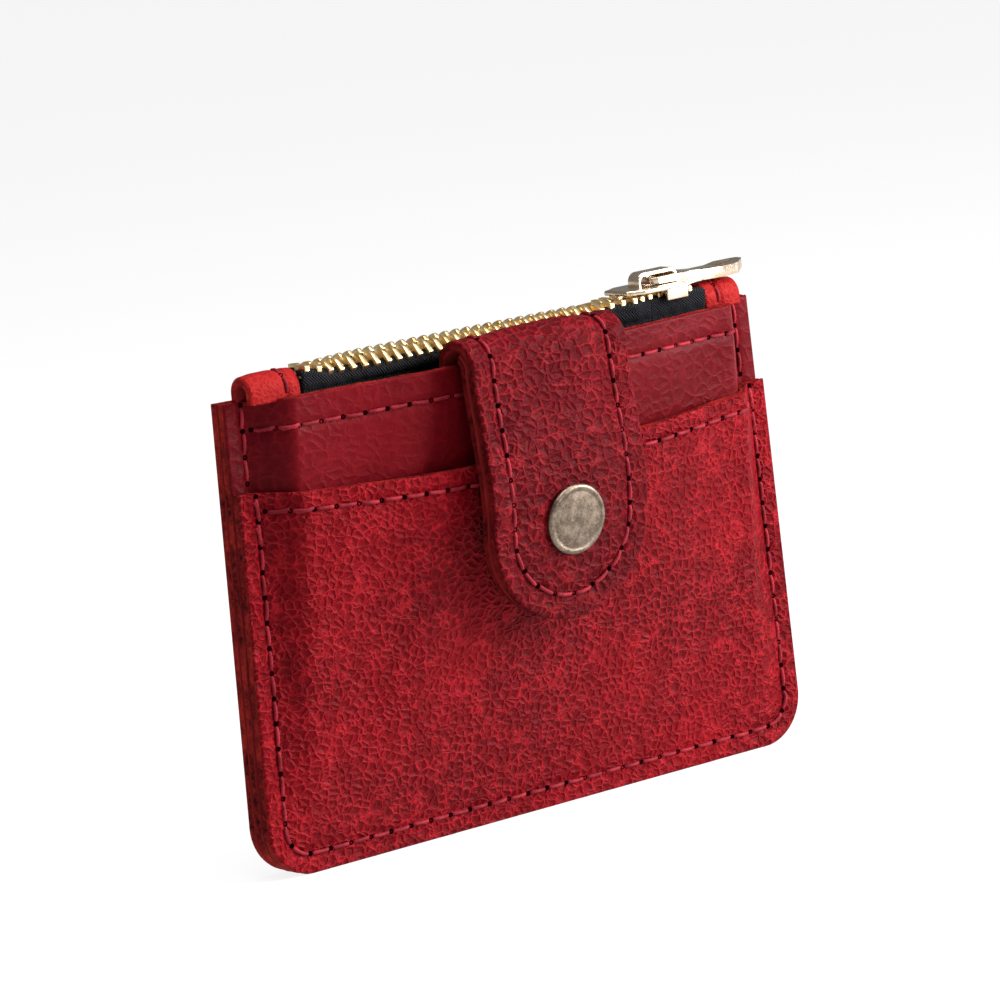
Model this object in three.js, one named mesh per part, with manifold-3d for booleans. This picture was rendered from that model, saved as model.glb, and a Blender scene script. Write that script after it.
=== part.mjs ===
// A small stitched leather pouch: a zipped compartment, a card pocket on the front,
// and a strap that folds over the front and snaps shut on the pocket.
// Millimetres. +X is to the right, +Y to the back and +Z up. The origin is the middle
// of the front panel's bottom edge, on which the pouch stands.
import * as THREE from "three";
import { mergeVertices } from "three/addons/utils/BufferGeometryUtils.js";
import Module from "manifold-3d";

const wasm = await Module();
wasm.setup();

// ---- Driving dimensions ----

// Leather body
const pouchWidth = 120.5; // along the bottom edge
const pouchHeight = 82; // to the top edges of both panels
const topNarrowing = 2; // how far each side is drawn in at the top by the bulging front
const cornerRadius = 9;
const leather = 1.8; // panels, pocket and strap
const gap = 0.3; // between pieces that lie on each other
const seamInset = 3.5; // stitch line to cut edge
const creaseWidth = 5.2; // the step between the side seams and the bulging front
const tabClearance = 0.4; // front panel to the end tabs, just inside the side seams
const centreSwell = 3; // the front stands out this much more in its middle
const bulgeFalloff = 1.3; // how fast the bulge dies away towards the bottom
const pocketDrop = 15.2; // its top edge below the panels', at the side seams
const pocketDip = 2.4; // the pocket's top edge sinks this far in the middle
const pocketSag = 1.4; // the pocket stands off the front panel at its mouth
const threadWidth = 0.6;
const topStitchDrop = 5; // zip stitching below the panels' top edges
const pocketStitchDrop = 3.2;

// Zip
const tape = 0.5;
const tapeDrop = 9; // their sewn edge below the panels' top edges
const chainPitch = 2.3; // between teeth on one side
const toothWidth = 1.02; // along the chain
const toothLength = 3.45; // leg end to head tip
const legLength = 2.1;
const legHeight = 2.4;
const headHeight = 1.5;
const toothMesh = 0.5; // how far closed heads reach past the middle of the chain
const cordSize = 0.7; // bead that the teeth grip
const chainRise = 3.3; // middle of the flat chain above the panels' top edges
const chainArch = 1.1; // how far the leaning heads stand above that
const chainLean = 42; // degrees from upright, where the zip is open
const openGap = 1.9; // heads to the middle of the zip at its widest
const openShift = 17; // where it is widest, from the closed end's tab
const noseFlare = 1.2; // extra spread around the slider's diamond
const tapeClearance = 0.5; // tape edge to the teeth's leg ends
const tapeSlack = 0.2; // front tape bellies forward by this much
const firstToothInset = 1.6; // from the end tab at the closed end
const lastToothInset = 2.2; // and at the open end
const tabSetback = 13.25; // their inner ends from the panels' top corners
const tabLength = 9.8;
const tabHalfWidth = 3;
const tabLeather = 1.3;
const tabStitchInset = 3;
const tabArchRise = 1.3; // middle of their arches above the panels' top edges

// Slider and pull
const sliderLength = 12.9;
const sliderSetback = 11.6; // middle of the slider from the end tab, at the open end of its travel
const sliderHalfWidth = 4.7;
const meshLength = 5; // from the slider's nose to where the teeth meet inside it
const sliderShoulder = 1.4; // how much narrower its nose is on each side
const sliderPlate = 0.9;
const sliderBaseHalfWidth = 2.2;
const chainClearance = 0.3; // above and below the flat chain
const flangeLength = 4.8;
const flangeThickness = 0.8;
const flangeDrop = 1.9; // below the top plate
const diamondWidth = 0.9;
const diamondLength = 1.5;
const crownLength = 10.4;
const crownWidth = 3;
const crownBand = 0.9;
const crownHeight = 2.6;
const crownShift = 1.7; // towards the closed end
const pullPivotShift = 0.5; // pull's cross bar from the slider's middle
const pullLength = 22.7;
const pullThickness = 1.1; // at its eye
const pullMiddleThickness = 2.1;
const pullTipThickness = 1.5;
const pullTipRise = 0.45; // underside of the tip above the cross bar's middle
const pullEyeHalfWidth = 3.1;
const pullWaistHalfWidth = 2.2;
const pullTipHalfWidth = 3.3;
const pullSlotLength = 7;
const pullClearance = 0.3;
const windowLength = 4;
const windowHalfWidth = 1.7;

// Strap and snap
const strapWidth = 34;
const strapArchRadius = 5.05; // outside of the fold over the top edge
const strapRootDrop = 9; // its lower end below the panels' top edges
const snapDrop = 28; // below the panels' top edges
const snapRaise = 1.5; // above the centre of the strap's round end
const snapStack = 3; // pocket face to strap lining
const socketTop = snapStack - 2 * gap;
const socketCrown = 0.3; // metal over the socket's bore
const capRadius = 6.25;
const capHeight = 1.1;
const capBevel = 1.3; // width of its sloping rim
const snapRadius = 5.2; // stud and socket flanges
const snapPlate = 0.7;
const knobRadius = 1.7;
const socketBore = 2.6;
const rivetRadius = 1.2;
const rivetHole = 1.6;

// ---- Derived places ----

const stackStep = leather + gap; // one layer of the side seam to the next
const backMid = stackStep; // middle of the back panel
const backInner = backMid - leather / 2;
const zipMiddle = backInner - gap - tabHalfWidth; // Y of the zip's centre line
const topHalfWidth = pouchWidth / 2 - topNarrowing;
const creaseEnd = topHalfWidth - seamInset - creaseWidth;
// How far the front stands out: just inside the side seams it clears the end tabs.
const creaseDepth = tabHalfWidth - zipMiddle + tabClearance + leather / 2;
const centreDepth = creaseDepth + centreSwell;
const pocketHeight = pouchHeight - pocketDrop; // at the side seams
const tapeBottom = pouchHeight - tapeDrop;
const chainHeight = pouchHeight + chainRise;
const strapRootBottom = pouchHeight - strapRootDrop;
const snapHeight = pouchHeight - snapDrop;
const tipCentre = snapHeight - snapRaise; // of the strap's round end
const tabInner = topHalfWidth - tabSetback; // from the middle of the zip
const sliderRest = tabInner - sliderSetback;
const openAt = openShift - tabInner;

const smooth = (t) => {
  const c = Math.min(1, Math.max(0, t));
  return c * c * (3 - 2 * c);
};
const mix = (a, b, t) => a + (b - a) * t;

// ---- Shapes shared by the leather pieces ----

// Half the width of the panels at height z, with round bottom corners.
function halfWidth(z) {
  const straight = pouchWidth / 2 - (topNarrowing * z) / pouchHeight;
  if (z >= cornerRadius) return straight;
  const drop = cornerRadius - z;
  return straight - cornerRadius + Math.sqrt(cornerRadius ** 2 - drop ** 2);
}

// How far the front panel's middle surface stands in front of the side seams.
function frontDepth(x, z) {
  const inset = halfWidth(z) - Math.abs(x);
  const up = Math.max(0, (z - seamInset) / (pouchHeight - seamInset));
  const fullness = 1 - (1 - Math.min(1, up)) ** bulgeFalloff;
  const swell = smooth((creaseEnd - Math.abs(x)) / (creaseEnd - strapWidth / 2));
  const depth = mix(creaseDepth, centreDepth, swell);
  return depth * fullness * smooth((inset - seamInset) / creaseWidth);
}

const frontMid = (x, z) => -frontDepth(x, z);

// Middle surface of the card pocket, which follows the front panel and sags at its mouth.
function pocketMid(x, z) {
  const across = smooth((halfWidth(z) - seamInset - Math.abs(x)) / (pouchWidth / 4));
  const sag = pocketSag * across * smooth(z / pocketHeight);
  return frontMid(x, z) - stackStep - sag;
}

const pocketTop = (x) => pocketHeight - pocketDip * (1 - (x / halfWidth(pocketHeight)) ** 2);

// ---- Geometry helpers ----

// A closed sheet between two grids of points: front(i, j) faces -Y and back(i, j) faces +Y,
// with i along +X and j along +Z.
function sheetBetween(columns, rows, front, back) {
  const positions = [];
  const index = [];
  const perRow = columns + 1;
  const perSide = perRow * (rows + 1);
  for (const side of [front, back])
    for (let j = 0; j <= rows; j++)
      for (let i = 0; i <= columns; i++) positions.push(...side(i, j));
  const f = (i, j) => j * perRow + i;
  const b = (i, j) => perSide + f(i, j);
  const quad = (p, q, r, s) => index.push(p, q, r, p, r, s);
  for (let j = 0; j < rows; j++) {
    for (let i = 0; i < columns; i++) {
      quad(f(i, j), f(i + 1, j), f(i + 1, j + 1), f(i, j + 1));
      quad(b(i, j), b(i, j + 1), b(i + 1, j + 1), b(i + 1, j));
    }
    quad(f(0, j), f(0, j + 1), b(0, j + 1), b(0, j));
    quad(f(columns, j), b(columns, j), b(columns, j + 1), f(columns, j + 1));
  }
  for (let i = 0; i < columns; i++) {
    quad(f(i, 0), b(i, 0), b(i + 1, 0), f(i + 1, 0));
    quad(f(i, rows), f(i + 1, rows), b(i + 1, rows), b(i, rows));
  }
  const geometry = new THREE.BufferGeometry();
  geometry.setAttribute("position", new THREE.Float32BufferAttribute(positions, 3));
  geometry.setIndex(index);
  return geometry;
}

function solidOf(geometry) {
  const bare = geometry.clone();
  bare.deleteAttribute("normal");
  bare.deleteAttribute("uv");
  const merged = mergeVertices(bare, 1e-5);
  return new wasm.Manifold(
    new wasm.Mesh({
      numProp: 3,
      vertProperties: new Float32Array(merged.attributes.position.array),
      triVerts: new Uint32Array(merged.index.array),
    }),
  );
}

function geometryOf(solid) {
  const mesh = solid.getMesh();
  const geometry = new THREE.BufferGeometry();
  const positions = new Float32Array(mesh.vertProperties);
  geometry.setAttribute("position", new THREE.BufferAttribute(positions, 3));
  geometry.setIndex(new THREE.BufferAttribute(new Uint32Array(mesh.triVerts), 1));
  return geometry;
}

const join = (geometries) => geometryOf(geometries.map(solidOf).reduce((a, b) => a.add(b)));
const cut = (geometry, tool) => geometryOf(solidOf(geometry).subtract(solidOf(tool)));

// A box from its lowest to its highest corner.
function box(x0, y0, z0, x1, y1, z1) {
  const geometry = new THREE.BoxGeometry(x1 - x0, y1 - y0, z1 - z0);
  return geometry.translate((x0 + x1) / 2, (y0 + y1) / 2, (z0 + z1) / 2);
}

// An outline in a (Y, Z) plane, pushed along +X from x0 to x1.
function alongX(points, x0, x1) {
  const shape = new THREE.Shape(points.map(([y, z]) => new THREE.Vector2(y, z)));
  const geometry = new THREE.ExtrudeGeometry(shape, { depth: x1 - x0, bevelEnabled: false });
  const turn = new THREE.Matrix4().set(0, 0, 1, x0, 1, 0, 0, 0, 0, 1, 0, 0, 0, 0, 0, 1);
  return geometry.applyMatrix4(turn);
}

// Points of an arc in a plane, from one angle to another in degrees.
function arc(cx, cy, radius, from, to, steps) {
  return Array.from({ length: steps + 1 }, (_, k) => {
    const angle = THREE.MathUtils.degToRad(mix(from, to, k / steps));
    return [cx + radius * Math.cos(angle), cy + radius * Math.sin(angle)];
  });
}

// A square thread laid through points; out(k) is the direction away from the leather.
function threadThrough(points, out) {
  const half = threadWidth / 2;
  const place = (k, side, height) => {
    const before = points[Math.max(0, k - 1)];
    const after = points[Math.min(points.length - 1, k + 1)];
    const along = new THREE.Vector3().subVectors(after, before).normalize();
    const away = out(k).clone().normalize();
    const across = new THREE.Vector3().crossVectors(along, away).normalize();
    const p = points[k].clone().addScaledVector(across, side * half);
    return p.addScaledVector(away, gap + height * threadWidth).toArray();
  };
  const front = (i, j) => place(i, 1 - 2 * j, 1);
  const back = (i, j) => place(i, 1 - 2 * j, 0);
  return sheetBetween(points.length - 1, 1, front, back);
}

const spread = (from, to, steps) =>
  Array.from({ length: steps + 1 }, (_, k) => mix(from, to, k / steps));

// ---- Materials ----

const colours = {
  leather: [0x8a1a26, 0.55, 0],
  edge: [0xc8433c, 0.8, 0],
  thread: [0xc23a52, 0.6, 0],
  tape: [0x17171b, 0.9, 0],
  brass: [0xd9b36a, 0.28, 1],
  champagne: [0xdcc8a8, 0.3, 1],
  antique: [0x8d7b66, 0.45, 1],
};

const pouch = new THREE.Group();

function addPiece(name, geometry, look, parent = pouch) {
  const [color, roughness, metalness] = colours[look];
  const material = new THREE.MeshStandardMaterial({ color, roughness, metalness });
  const mesh = new THREE.Mesh(geometry, material);
  mesh.name = name;
  parent.add(mesh);
  return mesh;
}

// ---- Leather body ----

// Columns as insets from the side edges, close together where the front steps out.
const nearSide = [0, seamInset / 2, seamInset];
const onCrease = spread(seamInset, seamInset + creaseWidth, 4).slice(1);
const acrossFront = spread(seamInset + creaseWidth, topHalfWidth, 6).slice(1);
const halfColumns = [...nearSide, ...onCrease, ...acrossFront].map((d) => 1 - d / topHalfWidth);
const columns = [...halfColumns.map((s) => -s), ...halfColumns.slice(0, -1).reverse()];

// Rows of height, close together at the round corners and the bottom seam.
const cornerRows = [0, 0.06, 0.2, 0.4, 0.66, 1].map((s) => s * cornerRadius);
const lowerRows = [...cornerRows, ...spread(cornerRadius, pocketHeight, 6).slice(1)];
const panelRows = [...lowerRows, mix(pocketHeight, pouchHeight, 0.5), pouchHeight];

// One leather panel whose middle surface is mid(x, z); height(x, j) gives its rows.
function panel(rows, height, mid) {
  const point = (side) => (i, j) => {
    const rough = height(0, j);
    const x = columns[i] * halfWidth(rough);
    const z = height(x, j);
    return [x, mid(x, z) + (side * leather) / 2, z];
  };
  return sheetBetween(columns.length - 1, rows - 1, point(-1), point(1));
}

function backPanel() {
  const straight = (x, j) => panelRows[j];
  return panel(panelRows.length, straight, () => backMid);
}

function frontPanel() {
  const straight = (x, j) => panelRows[j];
  return panel(panelRows.length, straight, frontMid);
}

function cardPocket() {
  const last = lowerRows.length - 1;
  const curved = (x, j) => (j === last ? pocketTop(x) : lowerRows[j]);
  return panel(lowerRows.length, curved, pocketMid);
}

// ---- Zip chain ----

const linkEnd = sliderRest - sliderLength / 2 + meshLength; // where the open side meets the closed end
const noseAt = sliderRest - sliderLength / 2 + diamondLength / 2;
const noseReach = 2.6;

// 1 where the chain stands open and leans, 0 where it lies flat at either end.
const leaning = (x) => smooth((x + tabInner - 1) / 8) * smooth((noseAt - 3 - x) / 8);

const flareAt = (x) => noseFlare * Math.exp(-(((x - noseAt) / noseReach) ** 2));

// Heads to the middle of the zip: a shallow V from each end to its widest place.
function headOffset(x) {
  const left = (x + tabInner) / (openAt + tabInner);
  const right = (linkEnd - x) / (linkEnd - openAt);
  const open = Math.max(0, Math.min(left, right, 1));
  return mix(-toothMesh, openGap, open) + flareAt(x);
}

// Where a front tooth stands: its leg end, and the unit vector to its head, in (Y, Z).
function toothPlace(x) {
  const lean = THREE.MathUtils.degToRad(mix(90, chainLean, leaning(x)));
  const along = [Math.sin(lean), Math.cos(lean)];
  const headY = zipMiddle - headOffset(x);
  const headZ = chainHeight + chainArch * leaning(x);
  const leg = [headY - toothLength * along[0], headZ - toothLength * along[1]];
  return { leg, along, out: [-along[1], along[0]] };
}

function tooth(x) {
  const { leg, along, out } = toothPlace(x);
  const profile = new THREE.Shape();
  profile.moveTo(0, -legHeight / 2);
  profile.lineTo(legLength, -legHeight / 2);
  profile.lineTo(legLength, -headHeight / 2);
  profile.lineTo(toothLength, -headHeight / 2);
  profile.lineTo(toothLength, headHeight / 2);
  profile.lineTo(legLength, headHeight / 2);
  profile.lineTo(legLength, legHeight / 2);
  profile.lineTo(0, legHeight / 2);
  profile.closePath();
  const geometry = new THREE.ExtrudeGeometry(profile, { depth: toothWidth, bevelEnabled: false });
  const place = new THREE.Matrix4().makeBasis(
    new THREE.Vector3(0, ...along),
    new THREE.Vector3(0, ...out),
    new THREE.Vector3(1, 0, 0),
  );
  place.setPosition(x - toothWidth / 2, ...leg);
  return geometry.applyMatrix4(place);
}

// The woven bead that joins the teeth, just inside their legs.
function bead(x0, x1) {
  const steps = Math.max(1, Math.round((x1 - x0) / chainPitch));
  const stations = spread(x0, x1, steps);
  const half = cordSize / 2;
  const point = (side) => (i, j) => {
    const { leg, along, out } = toothPlace(stations[i]);
    const s = cordSize + (j - 0.5) * cordSize;
    return [
      stations[i],
      leg[0] + s * along[0] + side * half * out[0],
      leg[1] + s * along[1] + side * half * out[1],
    ];
  };
  return sheetBetween(steps, 1, point(1), point(-1));
}

// The teeth of one stretch, each at offset + k * pitch.
function chainStretch(from, to, offset) {
  const first = Math.ceil((from - offset) / chainPitch);
  const last = Math.floor((to - offset) / chainPitch);
  const places = [];
  for (let k = first; k <= last; k++) places.push(offset + k * chainPitch);
  const ends = [places[0], places[places.length - 1]];
  return join([bead(...ends), ...places.map(tooth)]);
}

// The same shape on the other side of the zip's centre line.
function acrossZip(geometry) {
  const solid = solidOf(geometry).mirror([0, 1, 0]).translate([0, 2 * zipMiddle, 0]);
  return geometryOf(solid);
}

// A tape: upright against its panel, then curving over to the leg ends of the teeth. The
// front one bellies forward by its slack.
function zipTape(slack) {
  const stations = spread(gap - tabInner, tabInner - gap, 64);
  const base = (x) => {
    const belly = slack * smooth((tabInner - Math.abs(x)) / 25);
    return zipMiddle - tabHalfWidth + tape / 2 - belly;
  };
  const curve = (x) => {
    const { leg, along } = toothPlace(x);
    const end = new THREE.Vector2(...leg).addScaledVector(
      new THREE.Vector2(...along),
      -tapeClearance - flareAt(x) / 2,
    );
    const start = new THREE.Vector2(base(x), pouchHeight + gap);
    const control = new THREE.Vector2(end.x, mix(start.y, end.y, 0.35));
    return new THREE.QuadraticBezierCurve(start, control, end);
  };
  const rows = 5;
  const point = (side) => (i, j) => {
    const x = stations[i];
    const half = (side * tape) / 2;
    if (j === 0) return [x, base(x) + half, tapeBottom];
    const p = curve(x).getPoint((j - 1) / (rows - 1));
    const along = curve(x).getTangent((j - 1) / (rows - 1));
    return [x, p.x + half * along.y, p.y - half * along.x];
  };
  return sheetBetween(stations.length - 1, rows, point(-1), point(1));
}

// ---- Leather tabs over the ends of the zip ----

function endTab(side) {
  const inner = tabHalfWidth - tabLeather;
  const outline = (bottom) => [
    [zipMiddle + tabHalfWidth, bottom],
    ...arc(zipMiddle, tabArchHeight, tabHalfWidth, 0, 180, 12),
    [zipMiddle - tabHalfWidth, bottom],
    [zipMiddle - inner, bottom],
    ...arc(zipMiddle, tabArchHeight, inner, 180, 0, 10),
    [zipMiddle + inner, bottom],
  ];
  const sorted = (a, b) => [Math.min(a, b), Math.max(a, b)];
  const above = sorted(side * tabInner, side * (tabInner + tabLength));
  const inside = sorted(side * tabInner, side * (creaseEnd - 0.5));
  const overSeam = alongX(outline(pouchHeight + gap), ...above);
  const betweenPanels = alongX(outline(pouchHeight - topStitchDrop - 1), ...inside);
  return join([overSeam, betweenPanels]);
}

function tabThread(side) {
  const x = side * (tabInner + tabStitchInset);
  const onArch = arc(zipMiddle, tabArchHeight, tabHalfWidth, 20, 160, 10);
  const points = onArch.map(([y, z]) => new THREE.Vector3(x, y, z));
  const out = (k) => points[k].clone().sub(new THREE.Vector3(x, zipMiddle, tabArchHeight));
  return threadThrough(points, out);
}

// ---- Slider and pull, built about the slider's middle ----

const chainTop = chainHeight + legHeight / 2;
const chainBottom = chainHeight - legHeight / 2;
const plateBottom = chainTop + chainClearance;
const plateTop = plateBottom + sliderPlate;
const basePlateTop = chainBottom - chainClearance;

function sliderBody() {
  const half = sliderLength / 2;
  const y = zipMiddle;
  const nose = 3;
  const outline = new THREE.Shape();
  outline.moveTo(-half, y - sliderHalfWidth + sliderShoulder);
  outline.lineTo(nose - half, y - sliderHalfWidth);
  outline.lineTo(half, y - sliderHalfWidth);
  outline.lineTo(half, y + sliderHalfWidth);
  outline.lineTo(nose - half, y + sliderHalfWidth);
  outline.lineTo(-half, y + sliderHalfWidth - sliderShoulder);
  outline.closePath();
  const top = new THREE.ExtrudeGeometry(outline, { depth: sliderPlate, bevelEnabled: false });
  top.translate(0, 0, plateBottom);
  const flange = (side) => {
    const outer = y + side * sliderHalfWidth;
    const inner = outer - side * flangeThickness;
    const [low, high] = [Math.min(inner, outer), Math.max(inner, outer)];
    return box(half - flangeLength, low, plateBottom - flangeDrop, half, high, plateTop);
  };
  const baseTop = basePlateTop;
  const baseBottom = basePlateTop - sliderPlate;
  const wide = sliderBaseHalfWidth;
  const base = box(-half, y - wide, baseBottom, half, y + wide, baseTop);
  const post = diamondWidth / 2;
  const diamond = box(-half, y - post, baseBottom, diamondLength - half, y + post, plateTop);
  return join([top, flange(-1), flange(1), base, diamond]);
}

function sliderCrown() {
  const left = crownShift - crownLength / 2;
  const right = crownShift + crownLength / 2;
  const bottom = plateTop + gap;
  const peak = bottom + crownHeight - gap;
  const shape = new THREE.Shape();
  const round = 1.4;
  shape.moveTo(left, bottom);
  shape.lineTo(left + crownBand, bottom);
  shape.lineTo(left + crownBand, peak - round);
  shape.quadraticCurveTo(left + crownBand, peak - crownBand, left + round + 0.4, peak - crownBand);
  shape.lineTo(right - round - 0.4, peak - crownBand);
  shape.quadraticCurveTo(right - crownBand, peak - crownBand, right - crownBand, peak - round);
  shape.lineTo(right - crownBand, bottom);
  shape.lineTo(right, bottom);
  shape.lineTo(right, peak - round);
  shape.quadraticCurveTo(right, peak, right - round, peak);
  shape.lineTo(left + round, peak);
  shape.quadraticCurveTo(left, peak, left, peak - round);
  shape.closePath();
  const settings = { depth: crownWidth, bevelEnabled: false, curveSegments: 4 };
  const geometry = new THREE.ExtrudeGeometry(shape, settings);
  geometry.rotateX(Math.PI / 2);
  return geometry.translate(0, zipMiddle + crownWidth / 2, 0);
}

const pullPivotHeight = plateTop + (crownHeight - crownBand) / 2;
const tabArchHeight = pouchHeight + tabArchRise;
const tabCrest = tabArchHeight + tabHalfWidth;

// The pull from above, with its cross bar at the origin, lying along +X.
function pullOutline() {
  const bar = pullThickness / 2;
  const slotHalf = crownWidth / 2 + pullClearance;
  const waistAt = pullSlotLength + 2.5;
  const tipAt = pullLength - windowLength - 2;
  const upper = [
    [-bar, pullEyeHalfWidth - 0.8],
    [0.6, pullEyeHalfWidth],
    [pullSlotLength, pullEyeHalfWidth],
    [waistAt, pullWaistHalfWidth],
    [waistAt + 2.5, pullWaistHalfWidth],
    [tipAt, pullTipHalfWidth],
    [pullLength - bar, 0.7],
  ];
  const lower = upper.map(([x, y]) => [x, -y]).reverse();
  const toPoints = (points) => points.map(([x, y]) => new THREE.Vector2(x, y));
  const shape = new THREE.Shape(toPoints([...lower, ...upper].reverse()));
  const slot = [
    [bar, -slotHalf],
    [pullSlotLength, -slotHalf],
    [pullSlotLength, slotHalf],
    [bar, slotHalf],
  ];
  const window = [
    [tipAt, -windowHalfWidth],
    [tipAt + windowLength, 0],
    [tipAt, windowHalfWidth],
  ];
  shape.holes.push(new THREE.Path(toPoints(slot)), new THREE.Path(toPoints(window)));
  return shape;
}

// The pull from the side: thin at the eye, sinking to rest on the end tab, with a raised tip.
function pullTab() {
  const bar = pullThickness / 2;
  const restAt = tabInner + 1.5 - sliderRest - pullPivotShift;
  const restHeight = tabCrest + 2 * gap + threadWidth - pullPivotHeight;
  const under = [
    [-bar, -bar],
    [pullSlotLength - 0.6, -bar],
    [restAt, restHeight],
    [restAt + 2.5, restHeight],
    [pullLength - bar, pullTipRise],
  ];
  const over = [
    [pullLength - bar, pullTipRise + pullTipThickness],
    [restAt + 3.5, restHeight + pullMiddleThickness + 0.3],
    [restAt, restHeight + pullMiddleThickness],
    [pullSlotLength, bar],
    [-bar, bar],
  ];
  const side = new THREE.Shape([...under, ...over].map(([x, z]) => new THREE.Vector2(x, z)));
  const tall = 2 * pullLength;
  const plan = new THREE.ExtrudeGeometry(pullOutline(), { depth: tall, bevelEnabled: false });
  plan.translate(0, 0, -tall / 2);
  const profile = new THREE.ExtrudeGeometry(side, { depth: tall, bevelEnabled: false });
  profile.rotateX(Math.PI / 2).translate(0, tall / 2, 0);
  return geometryOf(solidOf(plan).intersect(solidOf(profile)));
}

// ---- Strap ----

const archY = frontMid(0, pouchHeight) + leather / 2 + gap + leather - strapArchRadius;
const archZ = pouchHeight - 0.5;
const strapDouble = 2 * leather + gap;
const hangFrom = archY - strapArchRadius + strapDouble / 2; // middle of both layers
const pocketSlope = (pocketMid(0, snapHeight + 1) - pocketMid(0, snapHeight - 1)) / 2;
const snapTilt = Math.atan(pocketSlope);
const snapFace = pocketMid(0, snapHeight) - leather / 2;
const strapAtSnap = snapFace - (snapStack + strapDouble / 2) / Math.cos(snapTilt);
const strapTip = tipCentre - strapWidth / 2;

// Middle line of the hanging strap: upright at the fold, parallel to the pocket at the snap.
function strapLine(z) {
  if (z <= snapHeight) return strapAtSnap + pocketSlope * (z - snapHeight);
  const span = archZ - snapHeight;
  const t = (z - snapHeight) / span;
  const value = mix(strapAtSnap, hangFrom, t * t * (3 - 2 * t));
  return value + pocketSlope * span * t * (1 - t) ** 2;
}

// Half the strap's width at height z, ending in a half circle about the snap.
function strapHalfWidth(z) {
  const radius = strapWidth / 2;
  if (z >= tipCentre) return radius;
  return Math.sqrt(Math.max(0, radius ** 2 - (tipCentre - z) ** 2));
}

// One layer of the hanging strap, between two offsets from its middle line.
function strapLayer(near, far) {
  const tipRows = arc(0, tipCentre, strapWidth / 2, -86, 0, 9).map(([, z]) => z);
  const rows = [...tipRows, ...spread(tipCentre, archZ - gap, 6).slice(1)];
  const across = spread(-1, 1, 6);
  const point = (offset) => (i, j) => {
    const z = rows[j];
    return [across[i] * strapHalfWidth(z), strapLine(z) + offset, z];
  };
  return sheetBetween(across.length - 1, rows.length - 1, point(near), point(far));
}

// The strap's sewn end, and the fold that carries it over the top edge of the front panel.
function strapRoot() {
  const half = strapWidth / 2;
  const inner = (angle) => {
    const lined = smooth((angle - 95) / 20);
    return strapArchRadius - mix(leather, strapDouble, lined);
  };
  const outside = arc(archY, archZ, strapArchRadius, 0, 180, 14);
  const inside = outside.map((_, k) => {
    const angle = (180 * (14 - k)) / 14;
    return arc(archY, archZ, inner(angle), angle, angle, 1)[0];
  });
  const lie = (z) => frontMid(0, z) + leather / 2 + gap;
  const foot = [lie(strapRootBottom), strapRootBottom];
  const heel = [lie(strapRootBottom) + leather, strapRootBottom];
  return alongX([foot, heel, ...outside, ...inside], -half, half);
}

// A line parallel to the strap's edge, on its front face.
function strapThread() {
  const inset = seamInset + 0.6;
  const reach = strapWidth / 2 - inset;
  const side = spread(archZ - 1, tipCentre, 5).slice(0, -1);
  const left = side.map((z) => [-reach, z]);
  const right = side.map((z) => [reach, z]).reverse();
  const tip = arc(0, tipCentre, reach, 180, 360, 16);
  const face = (x, z) => new THREE.Vector3(x, strapLine(z) - strapDouble / 2, z);
  const points = [...left, ...tip, ...right].map(([x, z]) => face(x, z));
  return threadThrough(points, () => new THREE.Vector3(0, -1, 0));
}

// ---- Snap fastener, turned about its own axis, which points out of the front ----

// A profile of (radius, height) points turned about +Z, then aimed along -Y.
function turned(profile, sides = 20) {
  const points = profile.map(([r, h]) => new THREE.Vector2(r, h));
  const geometry = new THREE.LatheGeometry(points, sides);
  return geometry;
}

const snapGroup = new THREE.Group();
snapGroup.position.set(0, snapFace, snapHeight);
snapGroup.rotation.x = Math.PI - snapTilt;

function stud() {
  const flange = gap + snapPlate;
  const tip = socketTop - socketCrown - gap;
  return turned([
    [0, gap],
    [snapRadius, gap],
    [snapRadius, flange],
    [knobRadius - 0.3, flange],
    [knobRadius, tip - 0.4],
    [knobRadius - 0.4, tip],
    [0, tip],
  ]);
}

function post() {
  const plate = leather + gap;
  return turned([
    [0, -plate - snapPlate],
    [snapRadius - 0.8, -plate - snapPlate],
    [snapRadius - 0.8, -plate],
    [rivetRadius, -plate],
    [rivetRadius, gap / 3],
    [0, gap / 3],
  ]);
}

function socket() {
  const mouth = 2 * gap + snapPlate;
  return turned([
    [0, socketTop - socketCrown],
    [socketBore, socketTop - socketCrown],
    [socketBore, mouth],
    [snapRadius, mouth],
    [snapRadius, socketTop - 0.5],
    [snapRadius - 0.8, socketTop],
    [0, socketTop],
  ]);
}

function cap() {
  const base = snapStack + strapDouble + gap;
  return turned(
    [
      [0, snapStack - gap / 3],
      [rivetRadius, snapStack - gap / 3],
      [rivetRadius, base],
      [capRadius, base],
      [capRadius, base + capHeight * 0.45],
      [capRadius - 0.5, base + capHeight * 0.85],
      [capRadius - capBevel, base + capHeight],
      [0, base + capHeight],
    ],
    28,
  );
}

// A hole for a rivet through a piece, in the pouch's own frame.
function rivetBore(from, to) {
  const bore = new THREE.CylinderGeometry(rivetHole, rivetHole, to - from, 16);
  bore.translate(0, (from + to) / 2, 0);
  snapGroup.updateMatrixWorld();
  return bore.applyMatrix4(snapGroup.matrixWorld);
}

// ---- Threads ----

// From the top left, down the side, round the bottom corners and up to the top right.
function seamPath(top) {
  const side = (z) => halfWidth(z) - seamInset;
  const round = cornerRadius - seamInset;
  const corner = pouchWidth / 2 - cornerRadius;
  const down = spread(top, cornerRadius, 8).map((z) => [-side(z), z]);
  const left = arc(-corner, cornerRadius, round, 180, 270, 6).slice(1);
  const right = arc(corner, cornerRadius, round, 270, 360, 6).slice(0, -1);
  const up = spread(cornerRadius, top, 8).map((z) => [side(z), z]);
  return [...down, ...left, ...right, ...up];
}

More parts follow.
